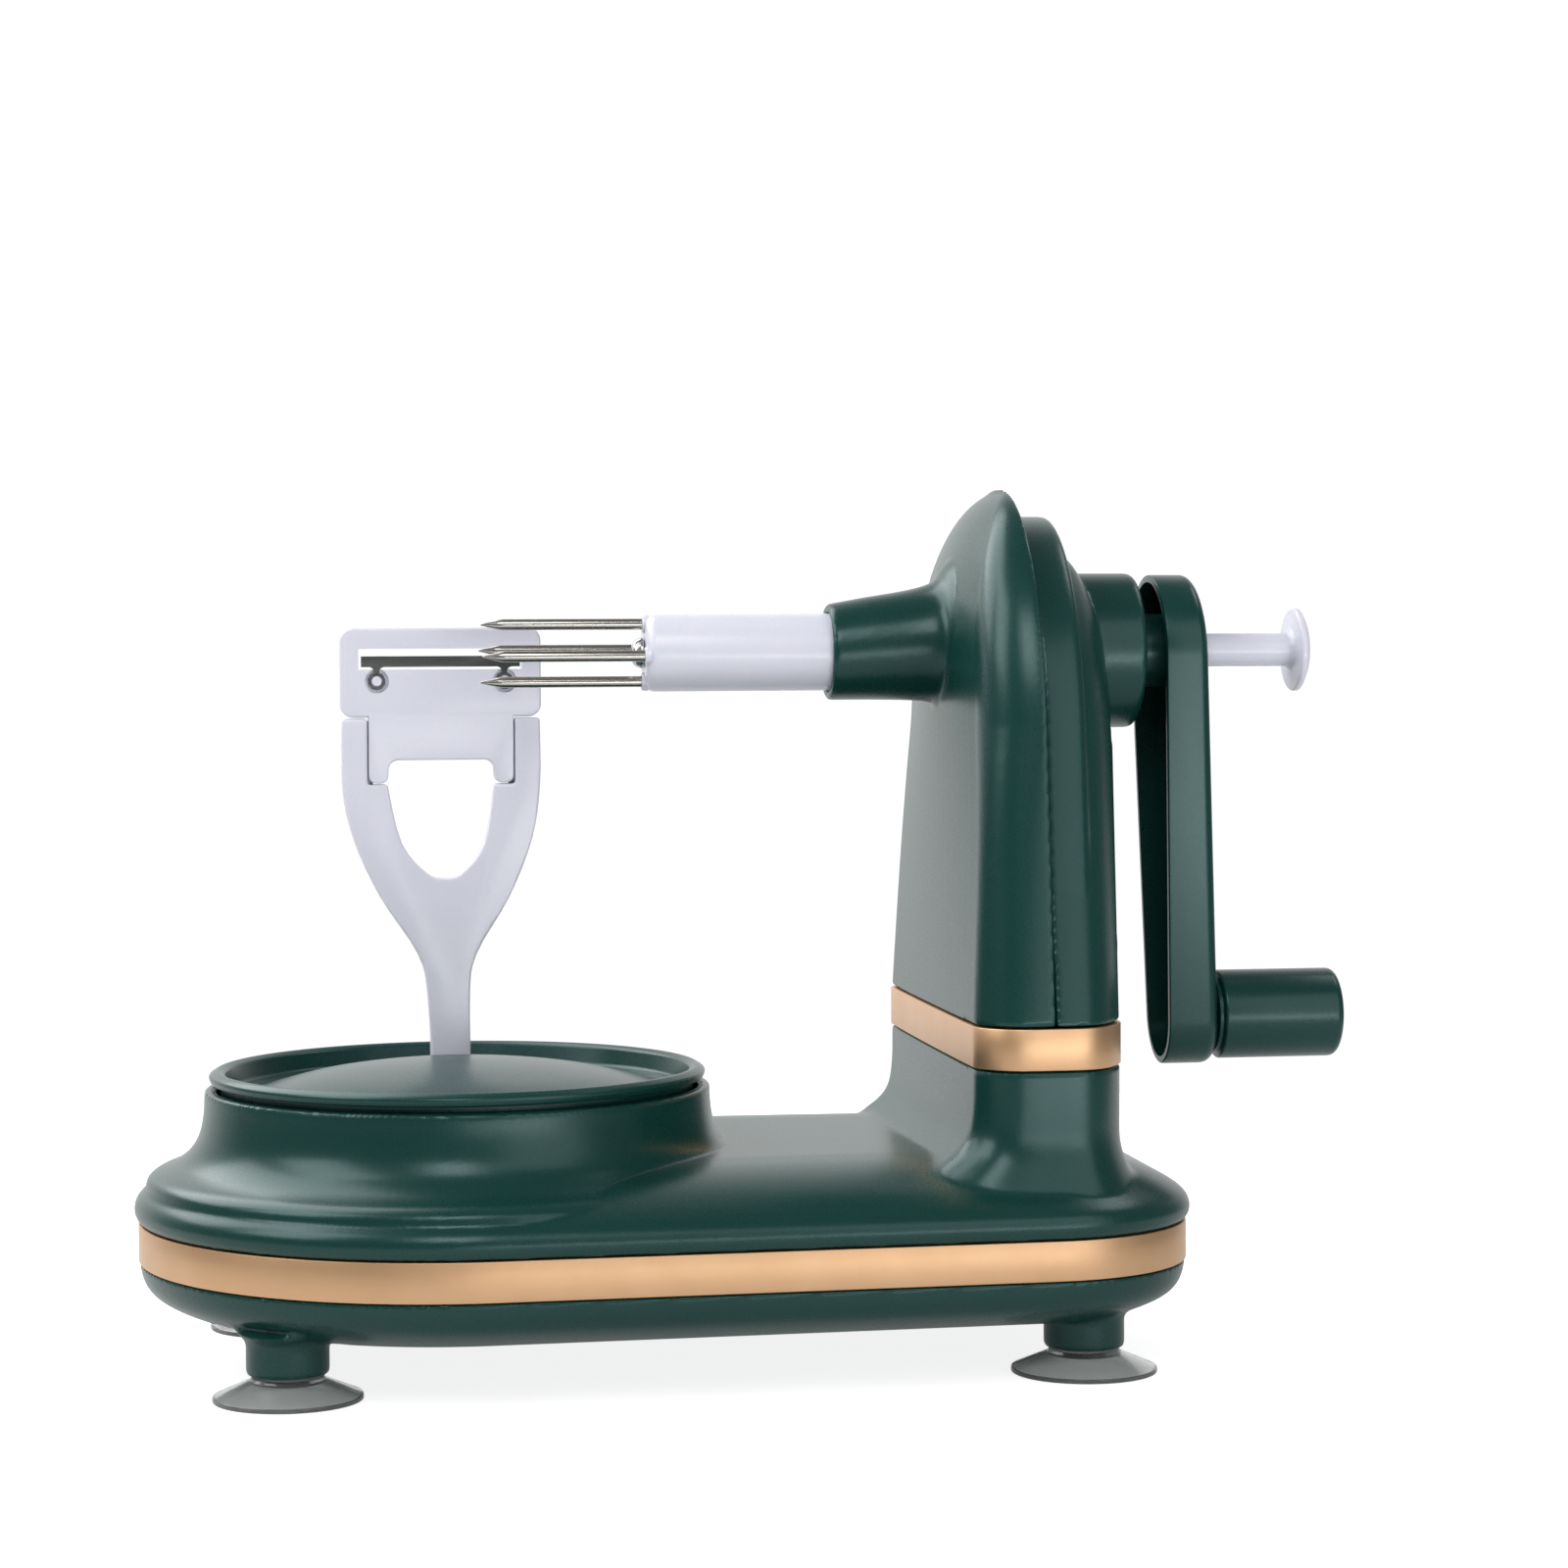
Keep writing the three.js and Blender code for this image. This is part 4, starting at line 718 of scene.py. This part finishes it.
def band(ring, low, high, outset):
    """A closed hoop with slightly eased edges. The outset is how far it stands out of the ring."""
    lip = 0.35
    outside = [ring(z, inset) for z, inset in (
        (low, lip - outset), (low + lip * 0.3, lip * 0.3 - outset), (low + lip, -outset),
        (high - lip, -outset), (high - lip * 0.3, lip * 0.3 - outset), (high, lip - outset))]
    inside = [ring(z, TRIM_WALL) for z in (high, low)]
    rings = [*outside, *inside, outside[0]]
    count = len(rings[0])
    points = [p for r in rings for p in r]
    faces = [(level * count + i, level * count + (i + 1) % count,
              (level + 1) * count + (i + 1) % count, (level + 1) * count + i)
             for level in range(len(rings) - 1) for i in range(count)]
    return work_object(points, faces)


# Tower.


def snout_ring(x, radius, centre_z):
    return [(x, y, z) for y, z in circle(radius, 0, centre_z, 96)]


def front_shell():
    bottom, top = SHELL_BOTTOM_Z + GAP, FRONT_HIGH.z
    tip = FRONT_LOW.x
    outside = loft([front_slice(z, 0, SEAM_X, top) for z in arch_heights(bottom, top)])
    inside = loft([front_slice(z, WALL, SEAM_X + 1, top - WALL)
                   for z in arch_heights(bottom - 1, top - WALL)])
    snout = loft([snout_ring(*level) for level in [
        (tip, SNOUT_TIP_R - 0.8, AXIS_Z), (tip + 0.25, SNOUT_TIP_R - 0.25, AXIS_Z),
        (tip + 0.9, SNOUT_TIP_R, AXIS_Z),
        *curved([(112, 14.0, AXIS_Z + 0.9), (122, 14.9, AXIS_Z + 1.6), (128.5, 15.9, AXIS_Z + 2.2),
                 (131.5, 17.4, AXIS_Z + 2.4), (133.4, 20.5, AXIS_Z + 2.5), (137, 24, AXIS_Z + 2.6)])]])
    holes = [rod(HUB_R + GAP, tip - 1, HUB_HIGH.x + 1, z=AXIS_Z, axis="X", segments=96),
             rod(BUSH_R + GAP, HUB_HIGH.x + 0.5, SEAM_X, z=AXIS_Z, axis="X")]
    return soften(cut(join(cut(outside, inside), snout), *holes), FINE_CELL, 4)


def rear_shell():
    seam = SEAM_X + SEAM_LINE
    bottom = SHELL_BOTTOM_Z + GAP

    def arch(low, drop, inset, seam_x):
        top = REAR_ARCH_TOP_Z - drop
        return loft([rear_slice(z, inset, seam_x, REAR_ARCH_X, REAR_ARCH, top, REAR_ARCH_CORNER_R,
                                REAR_ARCH_TAPER)
                     for z in arch_heights(low, top)])

    def dome(low, drop, inset, seam_x):
        top = REAR_DOME_TOP_Z - drop
        return loft([rear_slice(z, inset, seam_x, dome_back_x(z), REAR_DOME, top, BACK_CORNER_R,
                                REAR_DOME_TAPER)
                     for z in arch_heights(low, top)])

    end = REAR_HIGH.x
    bush_end = corners("shaft_bush_rear")[1].x
    bore_r = SHAFT_R + 0.6
    boss = turned(filleted([(0, BOSS_X, 0), (BOSS_R, BOSS_X, 0), (BOSS_R, end, 1.8), (bore_r, end, 0.6),
                            (bore_r, bush_end, 0), (0, bush_end, 0)]), z=AXIS_Z, axis="X")
    screws = [middle(f"tower_screw_{k}") for k in range(1, 5)]
    screw_end = corners("tower_screw_1")[1].x
    pads = [rod(SCREW_PAD_R, seam, screw_end, y=p.y, z=p.z, axis="X") for p in screws]
    holes = [rod(BUSH_R + GAP, 150, bush_end + GAP, z=AXIS_Z, axis="X")]
    wells = [rod(TOWER_WELL_R, screw_end - 2.5, 176, y=p.y, z=p.z, axis="X") for p in screws]
    outside = join(arch(bottom, 0, 0, seam), dome(bottom, 0, 0, seam))
    shell = cut(outside, dome(bottom - 1, WALL, WALL, seam - 1))
    return soften(cut(join(shell, boss, *pads), *holes, *wells), FINE_CELL, 4)


# Crank and fork.


def crank_arm():
    lip = [(0, 0.55), (0.02, 0.1), (0.06, 0)]
    turns = [math.pi / 2 * k / 8 for k in range(9)]
    edge = [(1 - 0.24 * (1 - math.sin(turn)), 3.2 * (1 - math.cos(turn))) for turn in turns]
    tray = loft([crank_ring(share, inset) for share, inset in [*lip, *edge]])
    hollow = loft([crank_ring(-0.1, WALL - 0.7), crank_ring(0.65, WALL - 0.4),
                   crank_ring(0.74, WALL + 1.4)])
    shaft_face = CRANK_FACE_X - CRANK_FACE_LEAN
    bosses = [rod(10, REAR_HIGH.x + 1, shaft_face - 1.6, z=AXIS_Z, axis="X", round_by=0.5),
              rod(6, 202, CRANK_FACE_X - 1.6, z=KNOB_Z, axis="X", round_by=0.5)]
    holes = [rod(SHAFT_R + GAP, 180, SHAFT_END + GAP, z=AXIS_Z, axis="X"),
             rod(ROD_TAIL_R + GAP, 190, 210, z=AXIS_Z, axis="X"),
             rod(AXLE_R + GAP, 195, 210, z=KNOB_Z, axis="X")]
    return cut(join(cut(tray, hollow), *bosses), *holes)


def knob_axle():
    start, neck = AXLE_HEAD_X
    end = corners("knob_axle")[1].x
    return turned(filleted([(0, start, 0), (AXLE_HEAD_R, start, 0.8), (AXLE_HEAD_R, neck, 0),
                            (AXLE_R, neck, 0), (AXLE_R, end, 0.4), (0, end, 0)]),
                  z=KNOB_Z, axis="X", segments=48)


def crank_knob():
    start, end = KNOB_LOW.x, KNOB_HIGH.x
    bore_r = AXLE_R + GAP
    profile = filleted([(bore_r, start, 0), (10.4, start, 0.4), (10.4, start + 1.2, 0.3),
                        (KNOB_R, start + 1.2, 1.2), (KNOB_R, end, 2.2), (0, end, 0), (0, end - 2.9, 0),
                        (bore_r, end - 2.9, 0)])
    return turned([*profile, (bore_r, start)], z=KNOB_Z, axis="X")


def fork_hub():
    face, end = HUB_LOW.x, HUB_HIGH.x
    shaft_hole_r = SHAFT_R + GAP
    rod_hole_r = ROD_R + GAP
    profile = filleted([(rod_hole_r, face, 0.3), (HUB_R, face, 2.7), (HUB_R, end, 0),
                        (shaft_hole_r, end, 0), (shaft_hole_r, 70, 0), (4.9, 70, 0), (4.9, 57.7, 0),
                        (rod_hole_r, 57.7, 0)])
    body = turned([*profile, (rod_hole_r, face)], z=AXIS_Z, axis="X")
    prong_low, prong_high = corners("prong_1")
    prong_r = (prong_high.y - prong_low.y) / 2
    collars = [turned(filleted([(0, face - 0.6, 0), (prong_r + 0.9, face - 0.6, 0.4),
                                (prong_r + 1.1, face + 1, 0), (0, face + 1, 0)]),
                      y=p.y, z=p.z, axis="X", segments=32) for p in PRONGS]
    holes = [rod(prong_r + 0.12, face - 2, 62.3, y=p.y, z=p.z, axis="X", segments=32) for p in PRONGS]
    return cut(join(body, *collars), *holes)


def prong(k):
    low, high = corners(f"prong_{k}")
    radius = (high.y - low.y) / 2
    spot = (low + high) / 2
    tip = low.x
    profile = [(0, tip), (0.16, tip), (0.3, tip + 0.25)]
    profile += [(lerp(0.3, radius, t), lerp(tip + 0.25, tip + 5.4, t)) for t in (0.25, 0.5, 0.75, 0.92)]
    profile += [(radius, tip + 6), (radius, high.x - 0.2), (radius - 0.2, high.x), (0, high.x)]
    return turned(profile, y=spot.y, z=spot.z, axis="X", segments=48)


def ejector_rod():
    end = ROD_HIGH.x
    button = end - 4.2
    radius = (ROD_HIGH.y - ROD_LOW.y) / 2
    tip = ROD_LOW.x
    profile = filleted([(1.5, tip, 0), (ROD_R, tip, 0), (ROD_R, 83, 0), (ROD_TAIL_R, 83, 0.3),
                        (ROD_TAIL_R, button - 1.4, 1.2), (5.6, button, 1.2), (radius, button + 0.2, 0.8),
                        (radius, button + 1.9, 0.8), (radius - 3.2, end - 0.7, 3), (0, end, 0)])
    return turned([*profile, (0, 61), (1.5, 61), (1.5, tip)], z=AXIS_Z, axis="X")


def pusher_screw():
    low = corners("pusher_screw")[0].x
    return turned(filleted([(0, low, 0), (3.4, low + 0.7, 3), (4.2, low + 2.7, 0.8), (4.2, low + 3.4, 0.3),
                            (2.6, low + 3.4, 0), (2.6, low + 4.7, 0), (1.2, low + 4.7, 0), (1.2, 60.7, 0),
                            (0, 60.7, 0)]), z=AXIS_Z, axis="X", segments=48)


# Turntable.

TABLE_SCREW_HOLE_R = 1.8


def turntable():
    top = TABLE_HIGH.z
    outer = (TABLE_HIGH.x - TABLE_LOW.x) / 2
    dome = curved([(0, top), (20, 79.3), (38, 76.9), (50, 73.9), (54.6, 72.5)])
    profile = filleted([(54.6, 72.5, 0), (57.4, 71.9, 1.6), (60.9, 72.9, 1.4), (62.2, 77.6, 1.2),
                        (64.2, 78.7, 1.4), (outer, 77.1, 1.0), (65.9, 75.2, 0.5), (63.3, 75.1, 0.4),
                        (63.3, 69.8, 0.4), (54, 69.8, 0)])
    under = [(38, 74.3), (7, 77.2), (7, 52.3), (5, 52.3), (5, TABLE_LOW.z), (0, TABLE_LOW.z)]
    dish = turned([*dome[:-1], *profile, *under], segments=192)
    ears = [block(x, x + 3.2, ARM_Y - 5, ARM_Y + 5, 60.5, 76) for x in (6.6, -9.8)]
    holes = [block(-6.6, 6.6, ARM_Y - 5, ARM_Y + 11, 68, 90),
             rod(PIN_HOLE_R, -12, 12, y=ARM_Y, z=PIN_Z, axis="X"),
             rod(TABLE_SCREW_HOLE_R, 10, 34)]
    return cut(join(dish, *ears), *holes)


# Blade arm and cartridge.

ARM_LEAN = -2                     # how far the arm's top stands to the side of the turntable's axis
LEAN_START_Z = 80
LEAN_RISE = 70
ARM_EDGE_R = 0.9
SEAT_Z = CARTRIDGE_LOW.z - GAP
CARTRIDGE_SHOULDER_Z = 171.8
LEG_HALF = 20
PLATE_HALF = 3.5                  # half the thickness of the arm
LIP = 1.3                         # how far the uprights' back lips reach behind the cartridge's legs
LIP_Y = 0.4                       # where they start, behind the arm's middle
ARM_OUTER = [(70, 5.4), (94, 5.8), (106, 8), (122, 17.8), (138, 24.6), (153, 27.3),
             (CARTRIDGE_SHOULDER_Z - GAP, 27.3)]
ARM_INNER = [(127.2, 0), (128.4, 4.4), (137, 11.4), (SEAT_Z, 14.8)]


def arm_centre(z):
    return lerp(0, ARM_LEAN, min(max((z - LEAN_START_Z) / LEAN_RISE, 0), 1))


def arm_outline():
    """The arm from the front: a stem that opens into two uprights."""
    shoulder, inner = CARTRIDGE_SHOULDER_Z - GAP, LEG_HALF + GAP
    outer = curved([(half, z) for z, half in ARM_OUTER])
    gap = curved([(half, z) for z, half in reversed(ARM_INNER)])
    seat = filleted([(*outer[-1], 0), (inner, shoulder, 0.8), (inner, SEAT_Z, 0.8), (*gap[0], 0)])
    right = [(z, half) for half, z in [*outer, *seat[1:], *gap[1:]]]
    edge = [(arm_centre(z) + half, z) for z, half in right]
    mirror = [(arm_centre(z) - half, z) for z, half in reversed(right[:-1])]
    return edge + mirror


def blade_arm():
    front, back = ARM_Y - PLATE_HALF, ARM_Y + PLATE_HALF
    plate = edge_round(plate_xz(arm_outline(), front, back), ARM_EDGE_R)
    lips = [block(ARM_LEAN + a, ARM_LEAN + b, ARM_Y + LIP_Y, ARM_Y + 3.4, SEAT_Z - 1,
                  CARTRIDGE_SHOULDER_Z - 1)
            for a, b in ((-LEG_HALF - 1, -LEG_HALF + LIP), (LEG_HALF - LIP, LEG_HALF + 1))]
    barrel = rod(4.6, -6.1, 1.7, y=ARM_Y, z=PIN_Z, axis="X")
    root = block(-5.4, 1.7, front, back, PIN_Z, 72)
    return cut(join(plate, *lips, barrel, root), rod(PIN_HOLE_R, -12, 12, y=ARM_Y, z=PIN_Z, axis="X"))


def rounded_box(x0, x1, z0, z1, radius):
    corner_points = [(x0, z0, radius), (x1, z0, radius), (x1, z1, radius), (x0, z1, radius)]
    return filleted(corner_points, 8, closed=True)


WINDOW_HALF = 22.6                # the opening that the blade lies in
BLADE_LOW, BLADE_HIGH = corners("peeling_blade")
TAB = middle("blade_peg_2")       # where one of the blade's two tabs hangs on its peg
TAB_REACH = TAB.x - ARM_LEAN
BLADE_BOTTOM_Z = BLADE_HIGH.z - 3
WINDOW_Z = (BLADE_BOTTOM_Z - 0.7, BLADE_HIGH.z + 2)
NECK_TOP_Z = BLADE_BOTTOM_Z + 0.5
TAB_R = 2.5
EYE_R = 1.5


def cartridge():
    x = ARM_LEAN
    y0, y1 = CARTRIDGE_LOW.y, CARTRIDGE_HIGH.y
    half = (CARTRIDGE_HIGH.x - CARTRIDGE_LOW.x) / 2
    recess = y0 + 1.4
    head = rounded_box(x - half, x + half, CARTRIDGE_SHOULDER_Z, CARTRIDGE_HIGH.z, 3.6)
    top = edge_round(plate_xz(head, y0, y1), ARM_EDGE_R)
    inner, bottom, arch, root = 14.6, CARTRIDGE_LOW.z, 160, 176
    fork = filleted([(x - LEG_HALF, root, 0), (x - LEG_HALF, bottom, 2.2), (x - inner, bottom, 2.2),
                     (x - inner, arch, 2.8), (x + inner, arch, 2.8), (x + inner, bottom, 2.2),
                     (x + LEG_HALF, bottom, 2.2), (x + LEG_HALF, root, 0)], closed=True)
    legs = edge_round(plate_xz(fork, y0, y1), 0.5)
    lip_y = ARM_Y + LIP_Y - GAP
    holes = [block(x - WINDOW_HALF, x + WINDOW_HALF, y0 - 1, y1 + 1, *WINDOW_Z)]
    for side in (-1, 1):
        spot = x + side * TAB_REACH
        holes.append(disc_xz(TAB_R + 0.8, spot, TAB.z, y0 - 1, recess))
        holes.append(block(spot - 1.6, spot + 1.6, y0 - 1, recess, TAB.z, NECK_TOP_Z))
        holes.append(disc_xz(1.1, spot, TAB.z, y0, y1 - 1))
        edge = x + side * LEG_HALF
        left, right = sorted((edge, edge - side * (LIP + GAP)))
        holes.append(block(left - 0.2, right + 0.2, lip_y, y1 + 1, SEAT_Z - 1, CARTRIDGE_SHOULDER_Z))
    return cut(join(top, legs), *holes)


def disc_xz(radius, x, z, y0, y1, segments=48):
    return plate_xz(circle(radius, x, z, segments), y0, y1)


def blade():
    x = ARM_LEAN
    y0, y1 = BLADE_LOW.y, BLADE_HIGH.y
    half = (BLADE_HIGH.x - BLADE_LOW.x) / 2
    low = BLADE_BOTTOM_Z
    spots = [x + side * TAB_REACH for side in (-1, 1)]
    parts = []
    for spot in spots:
        neck = filleted([(spot - 2.6, low + 0.2, 0), (spot - 0.7, low - 0.4, 1.4), (spot - 0.7, TAB.z, 0),
                         (spot + 0.7, TAB.z, 0), (spot + 0.7, low - 0.4, 1.4),
                         (spot + 2.6, low + 0.2, 0)], closed=True)
        parts += [plate_xz(neck, y0, y1), disc_xz(TAB_R - 0.1, spot, TAB.z, y0, y1)]
    eyes = [disc_xz(EYE_R + 0.15, spot, TAB.z, y0 - 1, y1 + 1) for spot in spots]
    return cut(join(block(x - half, x + half, y0, y1, low, BLADE_HIGH.z), *parts), *eyes)


def blade_peg(k):
    low, high = corners(f"blade_peg_{k}")
    spot = (low + high) / 2
    return edge_round(disc_xz(EYE_R - 0.1, spot.x, spot.z, low.y - 0.2, high.y), 0.3)


# Feet and screws.

SCREW_R = 1.5
SCREW_HEAD_R = 3.5
SLOT_LONG = 2.1
SLOT_SHORT = 0.45
SLOT_DEPTH = 1.3


def suction_cup(k):
    spot = FEET[k - 1]
    profile = filleted([(0, 11.5, 0), (CUP_STEM_R, 11.5, 0.4), (CUP_STEM_R, 6.1, 0), (9.2, 6.1, 0.4),
                        (9.8, 5.2, 0.6), (18.4, 1.5, 1.2), (19.2, 1.2, 0.3), (19.2, 0, 0.3),
                        (18, 0, 0.4), (9, 4.0, 2), (0, 4.4, 0)], 4)
    return turned(profile, spot.x, spot.y)


def cross_recess(start, end, a, b, axis):
    """The two bars of a cross slot, from start to end along the axis and centred on (a, b) across it."""
    bars = []
    for reach_a, reach_b in ((SLOT_LONG, SLOT_SHORT), (SLOT_SHORT, SLOT_LONG)):
        across = (a - reach_a, a + reach_a, b - reach_b, b + reach_b)
        bars.append(block(start, end, *across) if axis == "X" else block(*across, start, end))
    return bars


def tower_screw(k):
    low, high = corners(f"tower_screw_{k}")
    spot = (low + high) / 2
    under_head = high.x - 2.2
    profile = filleted([(0, low.x, 0), (SCREW_R, low.x, 0), (SCREW_R, under_head, 0),
                        (SCREW_HEAD_R, under_head, 0.2), (SCREW_HEAD_R, high.x - 0.8, 1.2), (0, high.x, 0)])
    body = turned(profile, y=spot.y, z=spot.z, axis="X", segments=48)
    return cut(body, *cross_recess(high.x - SLOT_DEPTH, high.x + 1, spot.y, spot.z, "X"))


def case_screw(k):
    low, high = corners(f"case_screw_{k}")
    spot = (low + high) / 2
    over_head = low.z + 2.1
    profile = filleted([(0, low.z, 0), (SCREW_HEAD_R, low.z + 0.8, 1.2), (SCREW_HEAD_R, over_head, 0.2),
                        (SCREW_R, over_head, 0), (SCREW_R, high.z, 0), (0, high.z, 0)])
    body = turned(profile, spot.x, spot.y, segments=48)
    return cut(body, *cross_recess(low.z - 1, low.z + SLOT_DEPTH, spot.x, spot.y, "Z"))


piece("base_lower_shell", lower_shell())
piece("base_upper_shell", upper_shell())
piece("base_band", band(base_ring, BAND_LOW.z, BAND_HIGH.z, 0))
piece("tower_band", band(foot_ring, TOWER_BAND_LOW.z, TOWER_BAND_HIGH.z, 0.3))
piece("tower_front_shell", front_shell())
piece("tower_rear_shell", rear_shell())
piece("crank_arm", crank_arm())
piece("crank_knob", crank_knob())
piece("knob_axle", knob_axle())
piece("fork_hub", fork_hub())
piece("ejector_rod", ejector_rod())
piece("pusher_screw", pusher_screw())
piece("turntable", turntable())
piece("blade_arm", blade_arm())
piece("blade_cartridge", cartridge())
piece("peeling_blade", blade())
for number in (1, 2):
    piece(f"blade_peg_{number}", blade_peg(number))
for number in range(1, 5):
    piece(f"prong_{number}", prong(number))
    piece(f"suction_cup_{number}", suction_cup(number))
    piece(f"case_screw_{number}", case_screw(number))
    piece(f"tower_screw_{number}", tower_screw(number))

for name, node in frame["nodes"].items():
    if not node.hide_render:
        node.data.materials.clear()
        node.data.materials.append(MATERIALS[SLOT_OF[name]])

# ---------------------------------------------------------------- stage, light and camera

FLOOR_R = 0.6                     # metres, like the other lengths of the stage
FLOOR_DROP = 0.0002
FLOOR_STEPS = 128
MACHINE_MIDDLE = Vector((0, 0, 0.11))
LIGHT_DISTANCE = 1.2
CAMERA_PLACE = ORIGIN + Vector((-67.75, -1017.3, 190.8)) * MM
CAMERA_YAW = math.radians(8.77)
CAMERA_PITCH = math.radians(2.08)
CAMERA_ROLL = -0.005
CAMERA_LENS = 86.85               # millimetres, as the sensor's width is
CAMERA_SENSOR = 36


def floor():
    """A pale disc that the camera sees brighter than the machine does."""
    points = [(x, y, 0) for x, y in circle(FLOOR_R, 0, 0, FLOOR_STEPS)]
    mesh = bpy.data.meshes.new("floor")
    mesh.from_pydata(points, [], [list(range(FLOOR_STEPS))])
    obj = bpy.data.objects.new("floor", mesh)
    bpy.context.scene.collection.objects.link(obj)
    material, tree, shader = new_material("pale_floor")
    shader.inputs["Base Color"].default_value = (0.5, 0.5, 0.5, 1)
    shader.inputs["Roughness"].default_value = 0.9
    shader.inputs["Specular IOR Level"].default_value = 0
    shader.inputs["Emission Color"].default_value = (1, 1, 1, 1)
    sight = tree.nodes.new("ShaderNodeLightPath")
    glow = tree.nodes.new("ShaderNodeMapRange")
    glow.inputs["To Min"].default_value = 0.3
    glow.inputs["To Max"].default_value = 0.85
    tree.links.new(sight.outputs["Is Camera Ray"], glow.inputs["Value"])
    tree.links.new(glow.outputs["Result"], shader.inputs["Emission Strength"])
    mesh.materials.append(material)
    obj.location.z = -FLOOR_DROP


def softbox(name, azimuth, elevation, width, height, power):
    """A soft panel aimed at the machine, in degrees, metres and watts. Azimuth 0 is -Y and 90 is +X."""
    light = bpy.data.lights.new(name, "AREA")
    light.shape = "RECTANGLE"
    light.size, light.size_y = width, height
    light.energy = power
    turn, rise = math.radians(azimuth), math.radians(elevation)
    away = Vector((math.sin(turn) * math.cos(rise), -math.cos(turn) * math.cos(rise), math.sin(rise)))
    obj = bpy.data.objects.new(name, light)
    obj.location = away * LIGHT_DISTANCE + MACHINE_MIDDLE
    obj.rotation_mode = "QUATERNION"
    obj.rotation_quaternion = (-away).to_track_quat("-Z", "Y")
    bpy.context.scene.collection.objects.link(obj)


def studio():
    """A studio that lights the machine from behind, and dimly from elsewhere. The camera sees it white."""
    world = bpy.data.worlds.new("studio")
    world.use_nodes = True
    tree = world.node_tree
    background = tree.nodes["Background"]
    coords = tree.nodes.new("ShaderNodeTexCoord")
    split = tree.nodes.new("ShaderNodeSeparateXYZ")
    tree.links.new(coords.outputs["Generated"], split.inputs["Vector"])
    fade = tree.nodes.new("ShaderNodeMapRange")
    fade.interpolation_type = "SMOOTHSTEP"
    for socket, value in (("From Min", 0.4), ("From Max", 0.95), ("To Min", 0.2), ("To Max", 1.05)):
        fade.inputs[socket].default_value = value
    tree.links.new(split.outputs["Y"], fade.inputs["Value"])
    sight = tree.nodes.new("ShaderNodeLightPath")
    seen = tree.nodes.new("ShaderNodeMath")
    seen.operation = "MAXIMUM"
    tree.links.new(fade.outputs["Result"], seen.inputs[0])
    tree.links.new(sight.outputs["Is Camera Ray"], seen.inputs[1])
    tree.links.new(seen.outputs["Value"], background.inputs["Strength"])
    background.inputs["Color"].default_value = (1, 1, 1, 1)
    bpy.context.scene.world = world


def camera():
    level = math.cos(CAMERA_PITCH)
    ahead = Vector((math.sin(CAMERA_YAW) * level, math.cos(CAMERA_YAW) * level, -math.sin(CAMERA_PITCH)))
    roll = Matrix.Rotation(CAMERA_ROLL, 3, "Z").to_quaternion()
    data = bpy.data.cameras.new("camera")
    data.lens = CAMERA_LENS
    data.sensor_width = CAMERA_SENSOR
    obj = bpy.data.objects.new("camera", data)
    obj.location = CAMERA_PLACE
    obj.rotation_mode = "QUATERNION"
    obj.rotation_quaternion = ahead.to_track_quat("-Z", "Y") @ roll
    bpy.context.scene.collection.objects.link(obj)
    bpy.context.scene.camera = obj


floor()
studio()
softbox("left_box", -75, 38, 0.6, 0.75, 6)
softbox("left_rear_box", -130, 45, 0.97, 1.1, 12)
softbox("right_box", 31, 14, 0.8, 1.4, 4.4)
softbox("top_box", -12, 40, 0.36, 0.5, 3.2)
softbox("low_card", 16, -8, 0.9, 0.2, 3.2)
softbox("rim_box", 108, 50, 0.53, 0.3, 1.4)
camera()
bpy.context.scene.view_settings.view_transform = "Standard"
